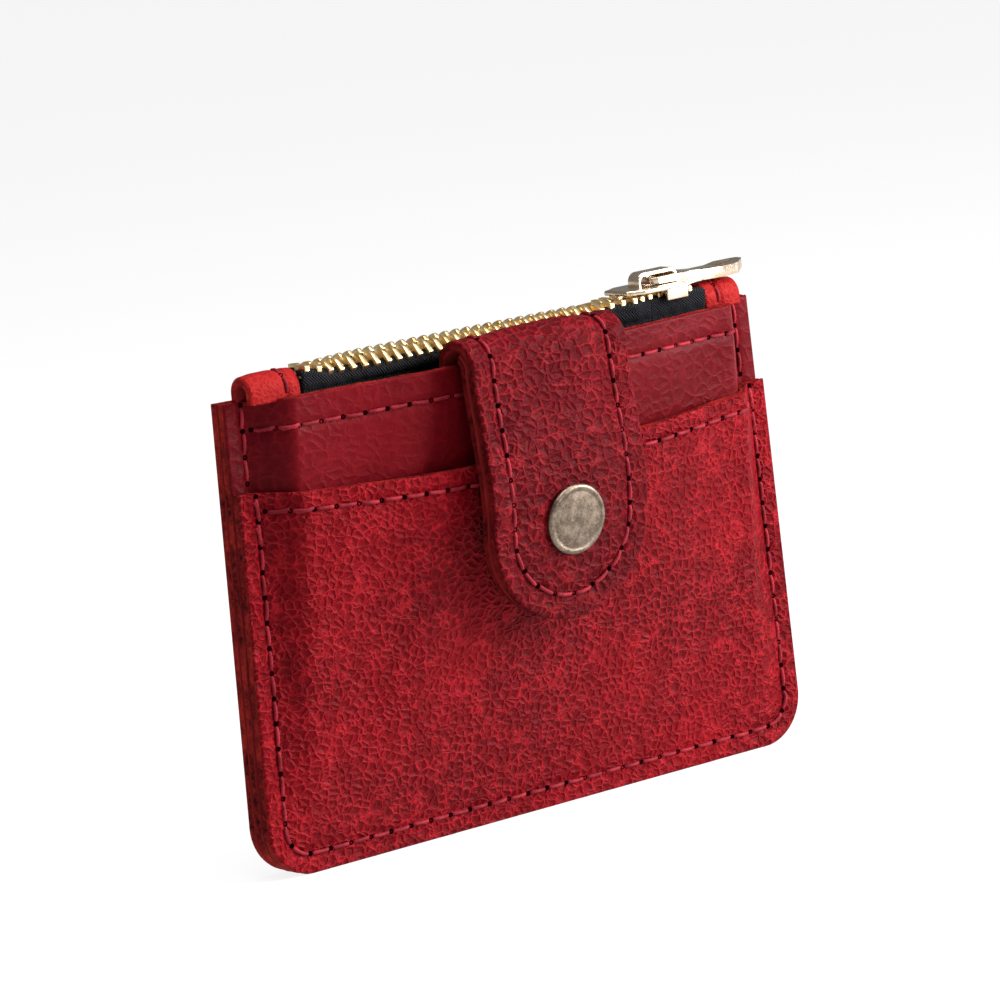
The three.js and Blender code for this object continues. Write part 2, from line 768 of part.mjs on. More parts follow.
// A thread along a path of (x, z) on the surface y = face(x, z), lying on its away side.
function seamThread(path, face, away) {
  const points = path.map(([x, z]) => new THREE.Vector3(x, face(x, z), z));
  const step = 0.5;
  const slope = (x, z, dx, dz) => (face(x + dx, z + dz) - face(x - dx, z - dz)) / (2 * step);
  const normal = (k) => {
    const [x, z] = path[k];
    return new THREE.Vector3(-slope(x, z, step, 0), 1, -slope(x, z, 0, step)).multiplyScalar(away);
  };
  return threadThrough(points, normal);
}

const pocketFace = (x, z) => pocketMid(x, z) - leather / 2;
const frontFace = (x, z) => frontMid(x, z) - leather / 2;
const backFace = () => backMid + leather / 2;

// A row of stitches across a panel, with its points on the panel's own columns.
function crossRow(height, inset) {
  const reach = topHalfWidth - inset;
  const inside = columns.map((s) => s * topHalfWidth).filter((x) => Math.abs(x) < reach);
  return [-reach, ...inside, reach].map((x) => [x, height(x)]);
}

const topStitch = () => pouchHeight - topStitchDrop;
const pocketStitch = (x) => pocketTop(x) - pocketStitchDrop;

// ---- Assembly ----

addPiece("back_panel", backPanel(), "leather");
addPiece("front_panel", frontPanel(), "leather");

const pocketHole = rivetBore(-leather - gap, gap);
addPiece("card_pocket", cut(cardPocket(), pocketHole), "leather");

addPiece("zip_tape_front", zipTape(tapeSlack), "tape");
addPiece("zip_tape_back", acrossZip(zipTape(0)), "tape");

const firstTooth = firstToothInset - tabInner;
const lastTooth = tabInner - lastToothInset;
const stretches = {
  left: [firstTooth, openAt],
  right: [openAt, linkEnd],
  end: [linkEnd, lastTooth],
};
for (const [where, [from, to]] of Object.entries(stretches)) {
  const front = chainStretch(from, to, firstTooth);
  const back = acrossZip(chainStretch(from, to, firstTooth + chainPitch / 2));
  addPiece(`zip_teeth_front_${where}`, front, "brass");
  addPiece(`zip_teeth_back_${where}`, back, "brass");
}

addPiece("zip_tab_left", endTab(-1), "edge");
addPiece("zip_tab_right", endTab(1), "edge");

const slider = new THREE.Group();
slider.position.x = sliderRest;
pouch.add(slider);
addPiece("slider_body", sliderBody(), "champagne", slider);
addPiece("slider_crown", sliderCrown(), "champagne", slider);
const pull = addPiece("pull_tab", pullTab(), "champagne", slider);
pull.position.set(pullPivotShift, zipMiddle, pullPivotHeight);

pouch.add(snapGroup);
const strapHole = rivetBore(snapStack - gap, snapStack + strapDouble + gap);
const layerSplit = leather + gap / 2;
addPiece("strap_root", strapRoot(), "leather");
addPiece("strap_outer", cut(strapLayer(-layerSplit, -gap / 2), strapHole), "leather");
addPiece("strap_lining", cut(strapLayer(gap / 2, layerSplit), strapHole), "leather");
addPiece("snap_stud", stud(), "antique", snapGroup);
addPiece("snap_post", post(), "antique", snapGroup);
addPiece("snap_socket", socket(), "antique", snapGroup);
addPiece("snap_cap", cap(), "antique", snapGroup);

const pocketSeam = seamPath(pocketHeight - 1);
addPiece("seam_thread_front", seamThread(pocketSeam, pocketFace, -1), "thread");
addPiece("seam_thread_back", seamThread(seamPath(pouchHeight - 1), backFace, 1), "thread");
const zipRow = crossRow(topStitch, seamInset + 1);
addPiece("zip_thread_front", seamThread(zipRow, frontFace, -1), "thread");
addPiece("zip_thread_back", seamThread(zipRow, backFace, 1), "thread");
const pocketRow = crossRow(pocketStitch, seamInset + 1);
addPiece("pocket_thread", seamThread(pocketRow, pocketFace, -1), "thread");
addPiece("strap_thread", strapThread(), "thread");
addPiece("tab_thread_left", tabThread(-1), "thread");
addPiece("tab_thread_right", tabThread(1), "thread");

export default pouch;
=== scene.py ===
import math

import bpy
import numpy as np
from mathutils import Matrix, Vector


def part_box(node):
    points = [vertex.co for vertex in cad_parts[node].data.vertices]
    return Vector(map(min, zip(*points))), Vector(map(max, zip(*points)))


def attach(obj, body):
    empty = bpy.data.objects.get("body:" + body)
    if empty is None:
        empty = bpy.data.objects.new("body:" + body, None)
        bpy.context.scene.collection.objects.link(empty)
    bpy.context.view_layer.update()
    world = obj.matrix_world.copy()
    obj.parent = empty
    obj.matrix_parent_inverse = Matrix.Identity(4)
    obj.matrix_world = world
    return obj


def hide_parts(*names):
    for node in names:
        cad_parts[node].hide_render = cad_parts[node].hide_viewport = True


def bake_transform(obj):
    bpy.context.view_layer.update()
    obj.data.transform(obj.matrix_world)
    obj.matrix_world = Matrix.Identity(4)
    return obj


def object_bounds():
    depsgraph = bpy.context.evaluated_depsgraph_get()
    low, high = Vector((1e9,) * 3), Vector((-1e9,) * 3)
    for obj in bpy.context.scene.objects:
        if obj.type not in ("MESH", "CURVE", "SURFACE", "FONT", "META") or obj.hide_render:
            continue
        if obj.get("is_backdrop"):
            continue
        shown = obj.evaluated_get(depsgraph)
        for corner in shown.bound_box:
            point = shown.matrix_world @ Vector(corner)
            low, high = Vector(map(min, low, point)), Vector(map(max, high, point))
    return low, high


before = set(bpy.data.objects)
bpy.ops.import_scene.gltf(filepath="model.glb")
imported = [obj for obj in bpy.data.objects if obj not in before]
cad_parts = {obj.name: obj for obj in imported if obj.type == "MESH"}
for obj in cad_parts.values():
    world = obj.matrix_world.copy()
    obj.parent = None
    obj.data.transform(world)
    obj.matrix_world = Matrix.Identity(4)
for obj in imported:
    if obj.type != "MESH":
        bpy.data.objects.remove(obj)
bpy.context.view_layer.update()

# ---- Camera ----
# A long lens about a metre away, a little above the pouch and to the left of its front,
# and rolled a few degrees.

camera_data = bpy.data.cameras.new("camera")
camera_data.lens = 187.2
camera_data.sensor_width = 36
camera_data.clip_start = 0.05
camera = bpy.data.objects.new("camera", camera_data)
bpy.context.collection.objects.link(camera)
camera_place = (-0.5458, -0.7112, 0.2066)
heading = math.radians(37.42)
fall = math.radians(9.59)
roll = math.radians(5.88)
ahead = math.cos(fall)
forward = Vector((math.sin(heading) * ahead, math.cos(heading) * ahead, -math.sin(fall)))
level = forward.cross(Vector((0, 0, 1))).normalized()
upright = level.cross(forward)
rightward = math.cos(roll) * level - math.sin(roll) * upright
upward = rightward.cross(forward)
turned = Matrix((rightward, upward, -forward)).transposed().to_4x4()
camera.matrix_world = Matrix.Translation(camera_place) @ turned
bpy.context.scene.camera = camera

# ---- Floor and light ----
# A plain pale table under the pouch, one large soft light overhead, a closer one from the
# right of its front and a weak one from the left, in a white room.

bpy.context.scene.view_settings.view_transform = "Standard"


class Wire:
    """A shader socket. Arithmetic on it adds Math nodes, and node() adds any other node."""

    def __init__(self, tree, socket=None):
        self.tree = tree
        self.socket = socket

    def node(self, kind, inputs, settings=None, out=0):
        made = self.tree.nodes.new(kind)
        for key, value in (settings or {}).items():
            setattr(made, key, value)
        for key, value in inputs.items():
            if isinstance(value, Wire):
                self.tree.links.new(value.socket, made.inputs[key])
            else:
                made.inputs[key].default_value = value
        return Wire(self.tree, made.outputs[out] if made.outputs else None)

    def math(self, operation, *values):
        return self.node("ShaderNodeMath", dict(enumerate(values)), {"operation": operation})

    def __add__(self, other):
        return self.math("ADD", self, other)

    def __radd__(self, other):
        return self.math("ADD", other, self)

    def __sub__(self, other):
        return self.math("SUBTRACT", self, other)

    def __rsub__(self, other):
        return self.math("SUBTRACT", other, self)

    def __mul__(self, other):
        return self.math("MULTIPLY", self, other)

    def __rmul__(self, other):
        return self.math("MULTIPLY", other, self)

    def band(self, low, high):
        """0 below low, 1 above high, and smooth between them."""
        values = {0: self, 1: low, 2: high, 3: 0.0, 4: 1.0}
        return self.node("ShaderNodeMapRange", values, {"interpolation_type": "SMOOTHSTEP"})

    def blend(self, first, second):
        """The first colour where this is 0, and the second where it is 1."""
        return self.node("ShaderNodeMix", {0: self, 6: first, 7: second}, {"data_type": "RGBA"}, 2)

    def noise(self, scale, detail, roughness=0.5, distortion=0.0):
        """Noise at these coordinates, with about scale lumps to the metre."""
        inputs = {"Vector": self, "Scale": scale, "Detail": detail}
        inputs.update({"Roughness": roughness, "Distortion": distortion})
        return self.node("ShaderNodeTexNoise", inputs)

    def bump(self, distance):
        """The normal of a surface with this height, in units of the distance."""
        return self.node("ShaderNodeBump", {"Height": self, "Distance": distance})

    def shift(self, operation, *values):
        """A Vector Math node on these coordinates."""
        inputs = {0: self, **dict(enumerate(values, 1))}
        return self.node("ShaderNodeVectorMath", inputs, {"operation": operation})


def rgb(red, green, blue):
    """A screen colour, 0 to 255, as the linear colour that a shader takes."""
    share = np.array([red, green, blue]) / 255
    linear = np.where(share < 0.04045, share / 12.92, ((share + 0.055) / 1.055) ** 2.4)
    return (*linear.tolist(), 1.0)


def finish_of(name, paint):
    """A material whose paint(where), with where the object's coordinates, returns the values
    and links of its main shader's sockets."""
    made = bpy.data.materials.new(name)
    made.use_nodes = True
    tree = made.node_tree
    tree.nodes.clear()
    wire = Wire(tree)
    where = wire.node("ShaderNodeTexCoord", {}, out=3)
    shader = wire.node("ShaderNodeBsdfPrincipled", paint(where))
    wire.node("ShaderNodeOutputMaterial", {"Surface": shader})
    return made


white = (1, 1, 1, 1)
table_paint = {
    "Base Color": rgb(110, 110, 110),
    "Roughness": 0.9,
    "Emission Color": white,
    "Emission Strength": 0.86,
}
reach = 12
floor_corners = [(-reach, -reach, 0), (reach, -reach, 0), (reach, reach, 0), (-reach, reach, 0)]
floor_mesh = bpy.data.meshes.new("floor")
floor_mesh.from_pydata(floor_corners, [], [(0, 1, 2, 3)])
floor_mesh.materials.append(finish_of("table", lambda where: table_paint))
floor = bpy.data.objects.new("floor", floor_mesh)
bpy.context.collection.objects.link(floor)
floor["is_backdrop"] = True

world = bpy.data.worlds.new("room")
bpy.context.scene.world = world
world.use_nodes = True
background = world.node_tree.nodes["Background"].inputs
background["Color"].default_value = white
background["Strength"].default_value = 0.22


def soft_light(name, place, target, size, power):
    """A rectangular lamp of that size in metres and power in watts, turned to its target."""
    lamp_data = bpy.data.lights.new(name, "AREA")
    lamp_data.shape = "RECTANGLE"
    lamp_data.size, lamp_data.size_y = size
    lamp_data.energy = power
    lamp = bpy.data.objects.new(name, lamp_data)
    bpy.context.collection.objects.link(lamp)
    lamp.location = place
    lamp.rotation_euler = (Vector(target) - Vector(place)).to_track_quat("-Z", "Y").to_euler()


middle = (0, 0, 0.05)
soft_light("overhead", (0.0, -0.15, 0.9), middle, (0.8, 0.5), 8)
soft_light("right", (0.46, -0.4, 0.26), (0.03, 0, 0.05), (0.4, 0.5), 9.5)
soft_light("left", (-0.3, -0.9, 0.6), middle, (0.6, 0.5), 0.6)

# ---- Back panel ----
# One flat piece of leather, cut to a slightly tapered outline with round bottom corners. Its
# edges are left raw. The other panels are cut to the same outline. Sizes are in millimetres.

MM = 0.001
panel_low, panel_high = (np.array(corner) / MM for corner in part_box("back_panel"))
panel_height = panel_high[2]
bottom_half = panel_high[0] + 0.2
top_narrowing = 2.0
corner_radius = 9.0
leather_step = 2.1
thickness = 1.96
back_middle = (panel_low[1] + panel_high[1]) / 2
seam_inset = 3.5
seam_start = 0.6
row_inset = 4.6
zip_row_drop = 5.0


def smooth(t):
    """The smooth step from 0 to 1."""
    t = np.clip(t, 0, 1)
    return t * t * (3 - 2 * t)


def mix(a, b, t):
    """a where t is 0, and b where it is 1."""
    return a + (b - a) * t


def half_width(z):
    """Half the panels' width at height z: a straight taper, less a circle at the bottom corners."""
    straight = bottom_half - top_narrowing * z / panel_height
    drop = np.clip(corner_radius - z, 0, corner_radius)
    return straight - corner_radius + np.sqrt(corner_radius**2 - drop**2)


def edge_distance(x, z, top):
    """How far a point of a panel is from the panel's cut edge."""
    straight = bottom_half - top_narrowing * z / panel_height
    side = straight - np.abs(x)
    in_corner = (side < corner_radius) & (z < corner_radius)
    corner = corner_radius - np.hypot(corner_radius - side, corner_radius - z)
    return np.where(in_corner, corner, np.minimum(np.minimum(side, z), top - z))


def ripple(x, z, seed, wavelength):
    """Gentle unevenness between -1 and 1: six sine waves in random directions."""
    draw = np.random.default_rng(seed)
    total = np.zeros_like(np.asarray(x, float) + z)
    for turn, phase, scale in draw.uniform((0, 0, 0.7), (math.tau, math.tau, 1.6), (6, 3)):
        along = np.cos(turn) * x + np.sin(turn) * z
        total = total + np.sin(math.tau * along / (wavelength * scale) + phase) / 3
    return np.clip(total, -1, 1)


def near(points, path, width):
    """exp(-(d / width)^2), with d the distance from a path of points."""
    flat = points.reshape(-1, points.shape[-1])
    nearest = np.full(len(flat), np.inf)
    for part in np.array_split(path, max(1, len(path) // 40)):
        gap = np.linalg.norm(flat[:, None, :] - part[None, :, :], axis=2).min(1)
        nearest = np.minimum(nearest, gap)
    return np.exp(-((nearest / width) ** 2)).reshape(points.shape[:-1])


def piece_from(name, points, faces, finishes, indices=None):
    """A smooth mesh object from points and faces as rows of point numbers; indices number
    each face's finish."""
    mesh = bpy.data.meshes.new(name)
    points = np.asarray(points, float).reshape(-1, 3) * MM
    faces = np.asarray(faces, np.int32)
    count, sides = faces.shape
    mesh.vertices.add(len(points))
    mesh.vertices.foreach_set("co", points.astype(np.float32).ravel())
    mesh.loops.add(count * sides)
    mesh.loops.foreach_set("vertex_index", faces.ravel())
    mesh.polygons.add(count)
    mesh.polygons.foreach_set("loop_start", np.arange(0, count * sides, sides, dtype=np.int32))
    for finish in finishes:
        mesh.materials.append(finish)
    if indices is not None:
        mesh.polygons.foreach_set("material_index", np.asarray(indices, np.int32))
    mesh.update(calc_edges=True)
    mesh.validate()
    mesh.shade_smooth()
    made = bpy.data.objects.new(name, mesh)
    bpy.context.collection.objects.link(made)
    return made


def grid_faces(rows, columns, start=0, closed=False):
    """The quads of a grid of points, row by row; closed joins the last column to the first."""
    last = columns if closed else columns - 1
    j, i = np.meshgrid(np.arange(rows - 1), np.arange(last), indexing="ij")
    following = (i + 1) % columns
    low, high = j * columns, (j + 1) * columns
    corners = [low + i, low + following, high + following, high + i]
    return start + np.stack(corners, -1).reshape(-1, 4)


def border_of(rows, columns):
    """The numbers of a grid's outermost points, in order round it."""
    order = np.arange(rows * columns).reshape(rows, columns)
    return np.concatenate([order[0, :-1], order[:-1, -1], order[-1, :0:-1], order[:0:-1, 0]])


def leather_piece(name, face, flesh, finishes, seed):
    """A closed piece of leather. face and flesh are grids of points on its two sides, which
    share a cut edge: rings of points mixed from one border to the other, pushed out by a
    half-sine bulge and by fine random fibres."""
    rim_steps, rim_bulge = 5, 0.12
    fibre, tuft, border_share = 0.035, 0.05, 0.6
    rows, columns = face.shape[:2]
    count = rows * columns
    front = grid_faces(rows, columns)
    back = grid_faces(rows, columns, count)[:, ::-1]
    border = border_of(rows, columns)
    outer = face.reshape(-1, 3)[border]
    inner = flesh.reshape(-1, 3)[border]
    tangent = np.roll(outer, -1, 0) - np.roll(outer, 1, 0)
    through = inner - outer
    outward = np.cross(tangent, through)
    outward /= np.linalg.norm(outward, axis=1, keepdims=True) + 1e-9
    draw = np.random.default_rng(seed)
    rough = draw.normal(0, 1, (rim_steps + 1, len(border)))
    spread = np.stack([np.roll(rough, k, 1) for k in range(-3, 4)]).sum(0) / math.sqrt(7)
    fray = fibre * rough + tuft * spread
    outer = outer + outward * fray[:1].T * border_share
    inner = inner + outward * fray[-1:].T * border_share
    rings = []
    for step in range(1, rim_steps):
        share = step / rim_steps
        push = rim_bulge * math.sin(math.pi * share) + fray[step]
        rings.append(mix(outer, inner, share) + outward * push[:, None])
    near_side, far_side = face.reshape(-1, 3).copy(), flesh.reshape(-1, 3).copy()
    near_side[border], far_side[border] = outer, inner
    points = np.concatenate([near_side, far_side, *rings])
    around = np.arange(len(border))
    between = [2 * count + k * len(border) + around for k in range(rim_steps - 1)]
    loops = [border, *between, border + count]
    walls = []
    for one, other in zip(loops[:-1], loops[1:]):
        walls.append(np.stack([one, other, np.roll(other, -1), np.roll(one, -1)], -1))
    walls = np.concatenate(walls)
    faces = np.concatenate([front, back, walls])
    indices = np.concatenate([np.zeros(len(front)), np.full(len(back), 2), np.ones(len(walls))])
    return piece_from(name, points, faces, finishes, indices)


def closer_at_ends(low, high, fine, coarse):
    """Places from low to high, about coarse apart and closer at both ends, where four more
    stand within fine of the end."""
    count = int((high - low) / coarse) + 12
    t = np.linspace(-1, 1, count)
    bent = np.sign(t) * (1 - (1 - np.abs(t)) ** 1.25)
    places = mix(low, high, (bent + 1) / 2)
    extra = np.array([0.1, 0.25, 0.45, 0.75]) * fine
    return np.unique(np.concatenate([places, low + extra, high - extra]))


def panel_grid():
    """x and z of a panel's points: columns follow its sides, and rows follow its corner arcs."""
    arc = corner_radius * (1 - np.cos(np.linspace(0, math.pi / 2, 16)))
    upper = closer_at_ends(corner_radius, panel_height, 1, 0.62)
    upper = upper[upper > corner_radius + 0.05]
    z = np.concatenate([arc, upper])
    across = closer_at_ends(-1, 1, 0.013, 0.011)
    extra = np.array([0.2, 0.5, 1, 1.6]) / 60
    across = np.unique(np.concatenate([across, -1 + extra, 1 - extra]))
    zz = np.repeat(z[:, None], len(across), 1)
    return across[None, :] * half_width(zz), zz


def rounded(distance, radius):
    """How far a face falls back near its cut edge: a quarter circle of that radius."""
    t = np.clip(1 - distance / radius, 0, 1)
    return radius * (1 - np.sqrt(1 - t * t))


def seam_path(top):
    """x and z of the side and bottom seam, parallel to the edge: down, round, and up again."""
    radius = corner_radius - seam_inset
    side = np.linspace(top, corner_radius, 120)
    turn = np.linspace(0, math.pi / 2, 16)[1:-1]
    corner = bottom_half - corner_radius
    left = np.stack([-corner - radius * np.cos(turn), corner_radius - radius * np.sin(turn)], 1)
    bottom = np.stack([np.linspace(-corner, corner, 200), np.full(200, seam_inset)], 1)
    down = np.stack([-(half_width(side) - seam_inset), side], 1)
    right = left[::-1] * (-1, 1)
    up = down[::-1] * (-1, 1)
    return np.concatenate([down, left, bottom, right, up])


def zip_row():
    """x and z of the stitching just below a panel's top edge."""
    reach = bottom_half - top_narrowing - row_inset
    height = panel_height - zip_row_drop
    return np.stack([np.linspace(-reach, reach, 240), np.full(240, height)], 1)


def grain(where, size, seed):
    """Pebbled leather: warped cells of that size in metres with raised veins between them,
    and finer cells and creases inside them. Returns the height, and the masks of the veins
    and of the creases."""
    drift = where.node("ShaderNodeTexNoise", {"Vector": where, "Scale": 330, "Detail": 2}, out=1)
    centred = drift.shift("SUBTRACT", (0.5, 0.5, 0.5))
    warp = {0: centred, "Scale": 0.0018}
    push = where.node("ShaderNodeVectorMath", warp, {"operation": "SCALE"})
    moved = where.shift("ADD", push)
    placed = moved.shift("MULTIPLY_ADD", (1, 1, 1.3), (seed, seed * 0.37, seed * 0.61))

    def cells_of(scale, randomness):
        inputs = {"Vector": placed, "Scale": scale, "Randomness": randomness}
        return where.node("ShaderNodeTexVoronoi", inputs, {"feature": "DISTANCE_TO_EDGE"})

    cells = cells_of(1 / size, 0.85)
    small = cells_of(2.3 / size, 1.0)
    ridge = 1 - cells.band(0.0, 0.42)
    core = 1 - cells.band(0.0, 0.15)
    crease = 1 - small.band(0.0, 0.16)
    strength = where.noise(260, 3).band(0.34, 0.6)
    veins = (ridge * 0.3 + core * 0.7) * (0.25 + 0.75 * strength)
    height = ridge * 0.75 + core * 0.3 + crease * 0.14 + where.noise(2600, 3) * 0.14
    return height, veins, crease


def grained_leather(
    name, dark, red, pale, size=0.0017, seed=0.0, relief=0.00034, rough=0.36, veined=1.0
):
    """Dyed leather: dark in its cells, paler on its veins, with cloudy wear between them."""

    def paint(where):
        height, veins, crease = grain(where, size, seed)
        worn = where.noise(45, 5).band(0.35, 0.7)
        fibre = where.noise(1500, 3).band(0.3, 0.65)
        base = (worn * 0.7 + crease * 0.25).blend(dark, red)
        return {
            "Base Color": (veins * veined * (0.3 + 0.5 * fibre)).blend(base, pale),
            "Roughness": rough + 0.16 * (1 - veins) * worn,
            "Specular IOR Level": 0.045,
            "Normal": height.bump(relief),
        }

    return finish_of(name, paint)


def cut_edge(name, dark, pale):
    """The raw edge of vegetable-dyed leather: packed fibres, streaked and unevenly dyed."""

    def paint(where):
        streak = where.noise(900, 6, 0.7)
        blotch = where.noise(160, 4)
        tuft = where.noise(2600, 3)
        colour = (0.55 * streak.band(0.35, 0.68) + 0.45 * blotch.band(0.35, 0.65)).blend(dark, pale)
        bump = (streak + tuft * 0.6).bump(0.0004)
        return {"Base Color": colour, "Roughness": 0.88, "Specular IOR Level": 0.04, "Normal": bump}

    return finish_of(name, paint)


def flesh_side(name, dark, pale):
    """The suede back of the leather: short matted nap."""

    def paint(where):
        nap = where.noise(1400, 6, 0.75)
        colour = (0.5 * nap + 0.5 * where.noise(120, 3).band(0.3, 0.7)).blend(dark, pale)
        bump = nap.bump(0.0003)
        return {"Base Color": colour, "Roughness": 0.95, "Specular IOR Level": 0.04, "Normal": bump}

    return finish_of(name, paint)


red_grain = grained_leather("red_grain", rgb(82, 2, 9), rgb(116, 5, 15), rgb(164, 26, 36))
raw_edge = cut_edge("raw_edge", rgb(44, 7, 8), rgb(158, 40, 34))
suede = flesh_side("suede", rgb(92, 16, 20), rgb(140, 34, 36))
panel_finishes = [red_grain, raw_edge, suede]

x, z = panel_grid()
distance = edge_distance(x, z, panel_height)
zip_rows = np.concatenate([seam_path(panel_height - seam_start), zip_row()])
channel = 0.3 * near(np.stack([x, z], -1), zip_rows, 0.85)
lumps = 0.12 * ripple(x, z, 3, 26) * smooth(distance / 8)
grain_y = back_middle + thickness / 2 - rounded(distance, 0.4) - channel + lumps
flesh_y = back_middle - thickness / 2 + rounded(distance, 0.2) + lumps
face = np.stack([x, grain_y, z], -1)[:, ::-1]
flesh = np.stack([x, flesh_y, z], -1)[:, ::-1]
back_panel = leather_piece("back_panel_leather", face, flesh, panel_finishes, 11)
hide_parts("back_panel")
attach(back_panel, "pouch")

# ---- Front panel ----
# The same outline, pulled forward above the seam by the zip: a steep crease just inside each
# side seam, then a shallow bulge that dies away to the bottom.

crease_width = 6.8
crease_depth = 6.4
centre_depth = 9.4
bulge_falloff = 1.3
strap_half = (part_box("strap_outer")[1].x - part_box("strap_outer")[0].x) / 2 / MM
top_half = bottom_half - top_narrowing
crease_end = top_half - seam_inset - crease_width


def front_middle(x, z):
    """The front panel's middle surface: a smooth step in from the side seams, a swell to the
    middle, and a rounded rise from the bottom seam."""
    inset = half_width(z) - np.abs(x)
    up = np.clip((z - seam_inset) / (panel_height - seam_inset), 0, 1)
    fullness = 1 - (1 - up) ** bulge_falloff
    swell = smooth((crease_end - np.abs(x)) / (crease_end - strap_half))
    depth = mix(crease_depth, centre_depth, swell)
    return -depth * fullness * smooth((inset - seam_inset) / crease_width)


def front_face(x, z):
    return front_middle(x, z) - thickness / 2


distance = edge_distance(x, z, panel_height)
channel = 0.32 * near(np.stack([x, z], -1), zip_rows, 0.8)
lumps = 0.22 * ripple(x, z, 5, 17) * smooth(distance / 7)
grain_y = front_face(x, z) + rounded(distance, 0.4) + channel + lumps
flesh_y = front_middle(x, z) + thickness / 2 - rounded(distance, 0.2) + lumps
smooth_red = grained_leather(
    "smooth_red",
    rgb(76, 4, 12),
    rgb(104, 7, 17),
    rgb(142, 26, 34),
    size=0.0026,
    seed=0.31,
    relief=0.00007,
    veined=0.3,
)
front_panel = leather_piece(
    "front_panel_leather",
    np.stack([x, grain_y, z], -1),
    np.stack([x, flesh_y, z], -1),
    [smooth_red, raw_edge, suede],
    12,
)
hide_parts("front_panel")
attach(front_panel, "pouch")

# ---- Card pocket ----
# A third piece, sewn on top round its sides and bottom. Its mouth is cut in a shallow curve
# and stands a little way off the front panel.

pocket_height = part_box("card_pocket")[1].z / MM
pocket_dip = 2.4
pocket_sag = 1.4
pocket_seam_start = 0.8
pocket_row_drop = 3.2


def pocket_top(x):
    """The mouth's height: a shallow parabola, lowest in the middle."""
    return pocket_height - pocket_dip * (1 - (x / half_width(np.float64(pocket_height))) ** 2)


def pocket_middle(x, z):
    """The pocket's middle surface: parallel to the front panel, sagging towards its mouth."""
    across = smooth((half_width(z) - seam_inset - np.abs(x)) / (bottom_half / 2))
    sag = pocket_sag * across * smooth(z / pocket_height)
    return front_middle(x, z) - leather_step - sag


def pocket_face(x, z):
    return pocket_middle(x, z) - thickness / 2


def pocket_row():
    """x and z of the stitching below the pocket's mouth."""
    reach = half_width(np.float64(pocket_height)) - row_inset
    across = np.linspace(-reach, reach, 240)
    return np.stack([across, pocket_top(across) - pocket_row_drop], 1)


x, z = panel_grid()
above_corner = z - corner_radius
squeezed = above_corner * (pocket_top(x) - corner_radius) / (panel_height - corner_radius)
z = np.where(above_corner > 0, corner_radius + squeezed, z)
x = x[-1][None, :] / half_width(panel_height) * half_width(z)
distance = edge_distance(x, z, pocket_top(x))
rows = np.concatenate([seam_path(pocket_height - pocket_seam_start), pocket_row()])
channel = 0.34 * near(np.stack([x, z], -1), rows, 0.85)
lumps = 0.25 * ripple(x, z, 8, 21) * smooth(distance / 7)
grain_y = pocket_face(x, z) + rounded(distance, 0.45) + channel + lumps
flesh_y = pocket_middle(x, z) + thickness / 2 - rounded(distance, 0.2) + lumps
pocket = leather_piece(
    "card_pocket_leather",
    np.stack([x, grain_y, z], -1),
    np.stack([x, flesh_y, z], -1),
    panel_finishes,
    13,
)
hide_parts("card_pocket")
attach(pocket, "pouch")

# ---- Stitching of the panels ----
# Thick waxed thread of two twisted plies. Each stitch dips into a needle hole at both ends,
# and each hole is drawn as a small ring painted near-black: painted shade inside the hole.
# The seams' last stitches are sewn twice.

stitch_length = 4.3
thread_radius = 0.33


def thread_paint(where):
    fibre = where.noise(1800, 3)
    tint = where.noise(300, 2)
    colour = (0.6 * tint.band(0.35, 0.65) + 0.4 * fibre).blend(rgb(92, 9, 20), rgb(158, 38, 50))
    bump = fibre.bump(0.0001)
    return {"Base Color": colour, "Roughness": 0.6, "Specular IOR Level": 0.12, "Normal": bump}


# Needle holes are drawn as near-black rings: painted shade inside the holes.
hole_shade_paint = {"Base Color": rgb(16, 0, 2), "Roughness": 1.0, "Specular IOR Level": 0.0}
thread_finish = finish_of("waxed_thread", thread_paint)
hole_shade_finish = finish_of("needle_hole_shade", lambda where: hole_shade_paint)


def unit(vectors):
    """Vectors scaled to a length of 1."""
    return vectors / (np.linalg.norm(vectors, axis=-1, keepdims=True) + 1e-12)


def along_path(path, places, values=None):
    """Points at these distances along a path of points, or the values kept at its points."""
    values = path if values is None else values
    steps = np.linalg.norm(np.diff(path, axis=0), axis=1)
    run = np.concatenate([[0], np.cumsum(steps)])
    return np.stack([np.interp(places, run, values[:, k]) for k in range(3)], 1)


def tubes(centre, sideways, away):
    """Tubes of thread round many centre lines at once: a circle with a lobe for each ply,
    which turns along the line. centre is (count, steps, 3). Returns points and faces; the
    tubes narrow at their ends, which are sunk in the leather."""
    sides, plies, turns, lobe_depth = 9, 2, 2.6, 0.16
    count, steps = centre.shape[:2]
    angle = np.arange(sides) * math.tau / sides
    run = np.linspace(0, 1, steps)[:, None]
    lobe = 1 + lobe_depth * np.cos(plies * (angle[None, :] - turns * math.tau * run))
    taper = np.sqrt(np.clip(1 - (2 * run - 1) ** 10, 0.02, 1))
    size = thread_radius * lobe * taper
    points = (
        centre[:, :, None, :]
        + sideways[:, :, None, :] * (size * np.cos(angle))[None, :, :, None]
        + away[:, :, None, :] * (size * np.sin(angle))[None, :, :, None]
    )
    one = grid_faces(steps, sides, closed=True)
    faces = (one[None] + (np.arange(count) * steps * sides)[:, None, None]).reshape(-1, 4)
    return points.reshape(-1, 3), faces


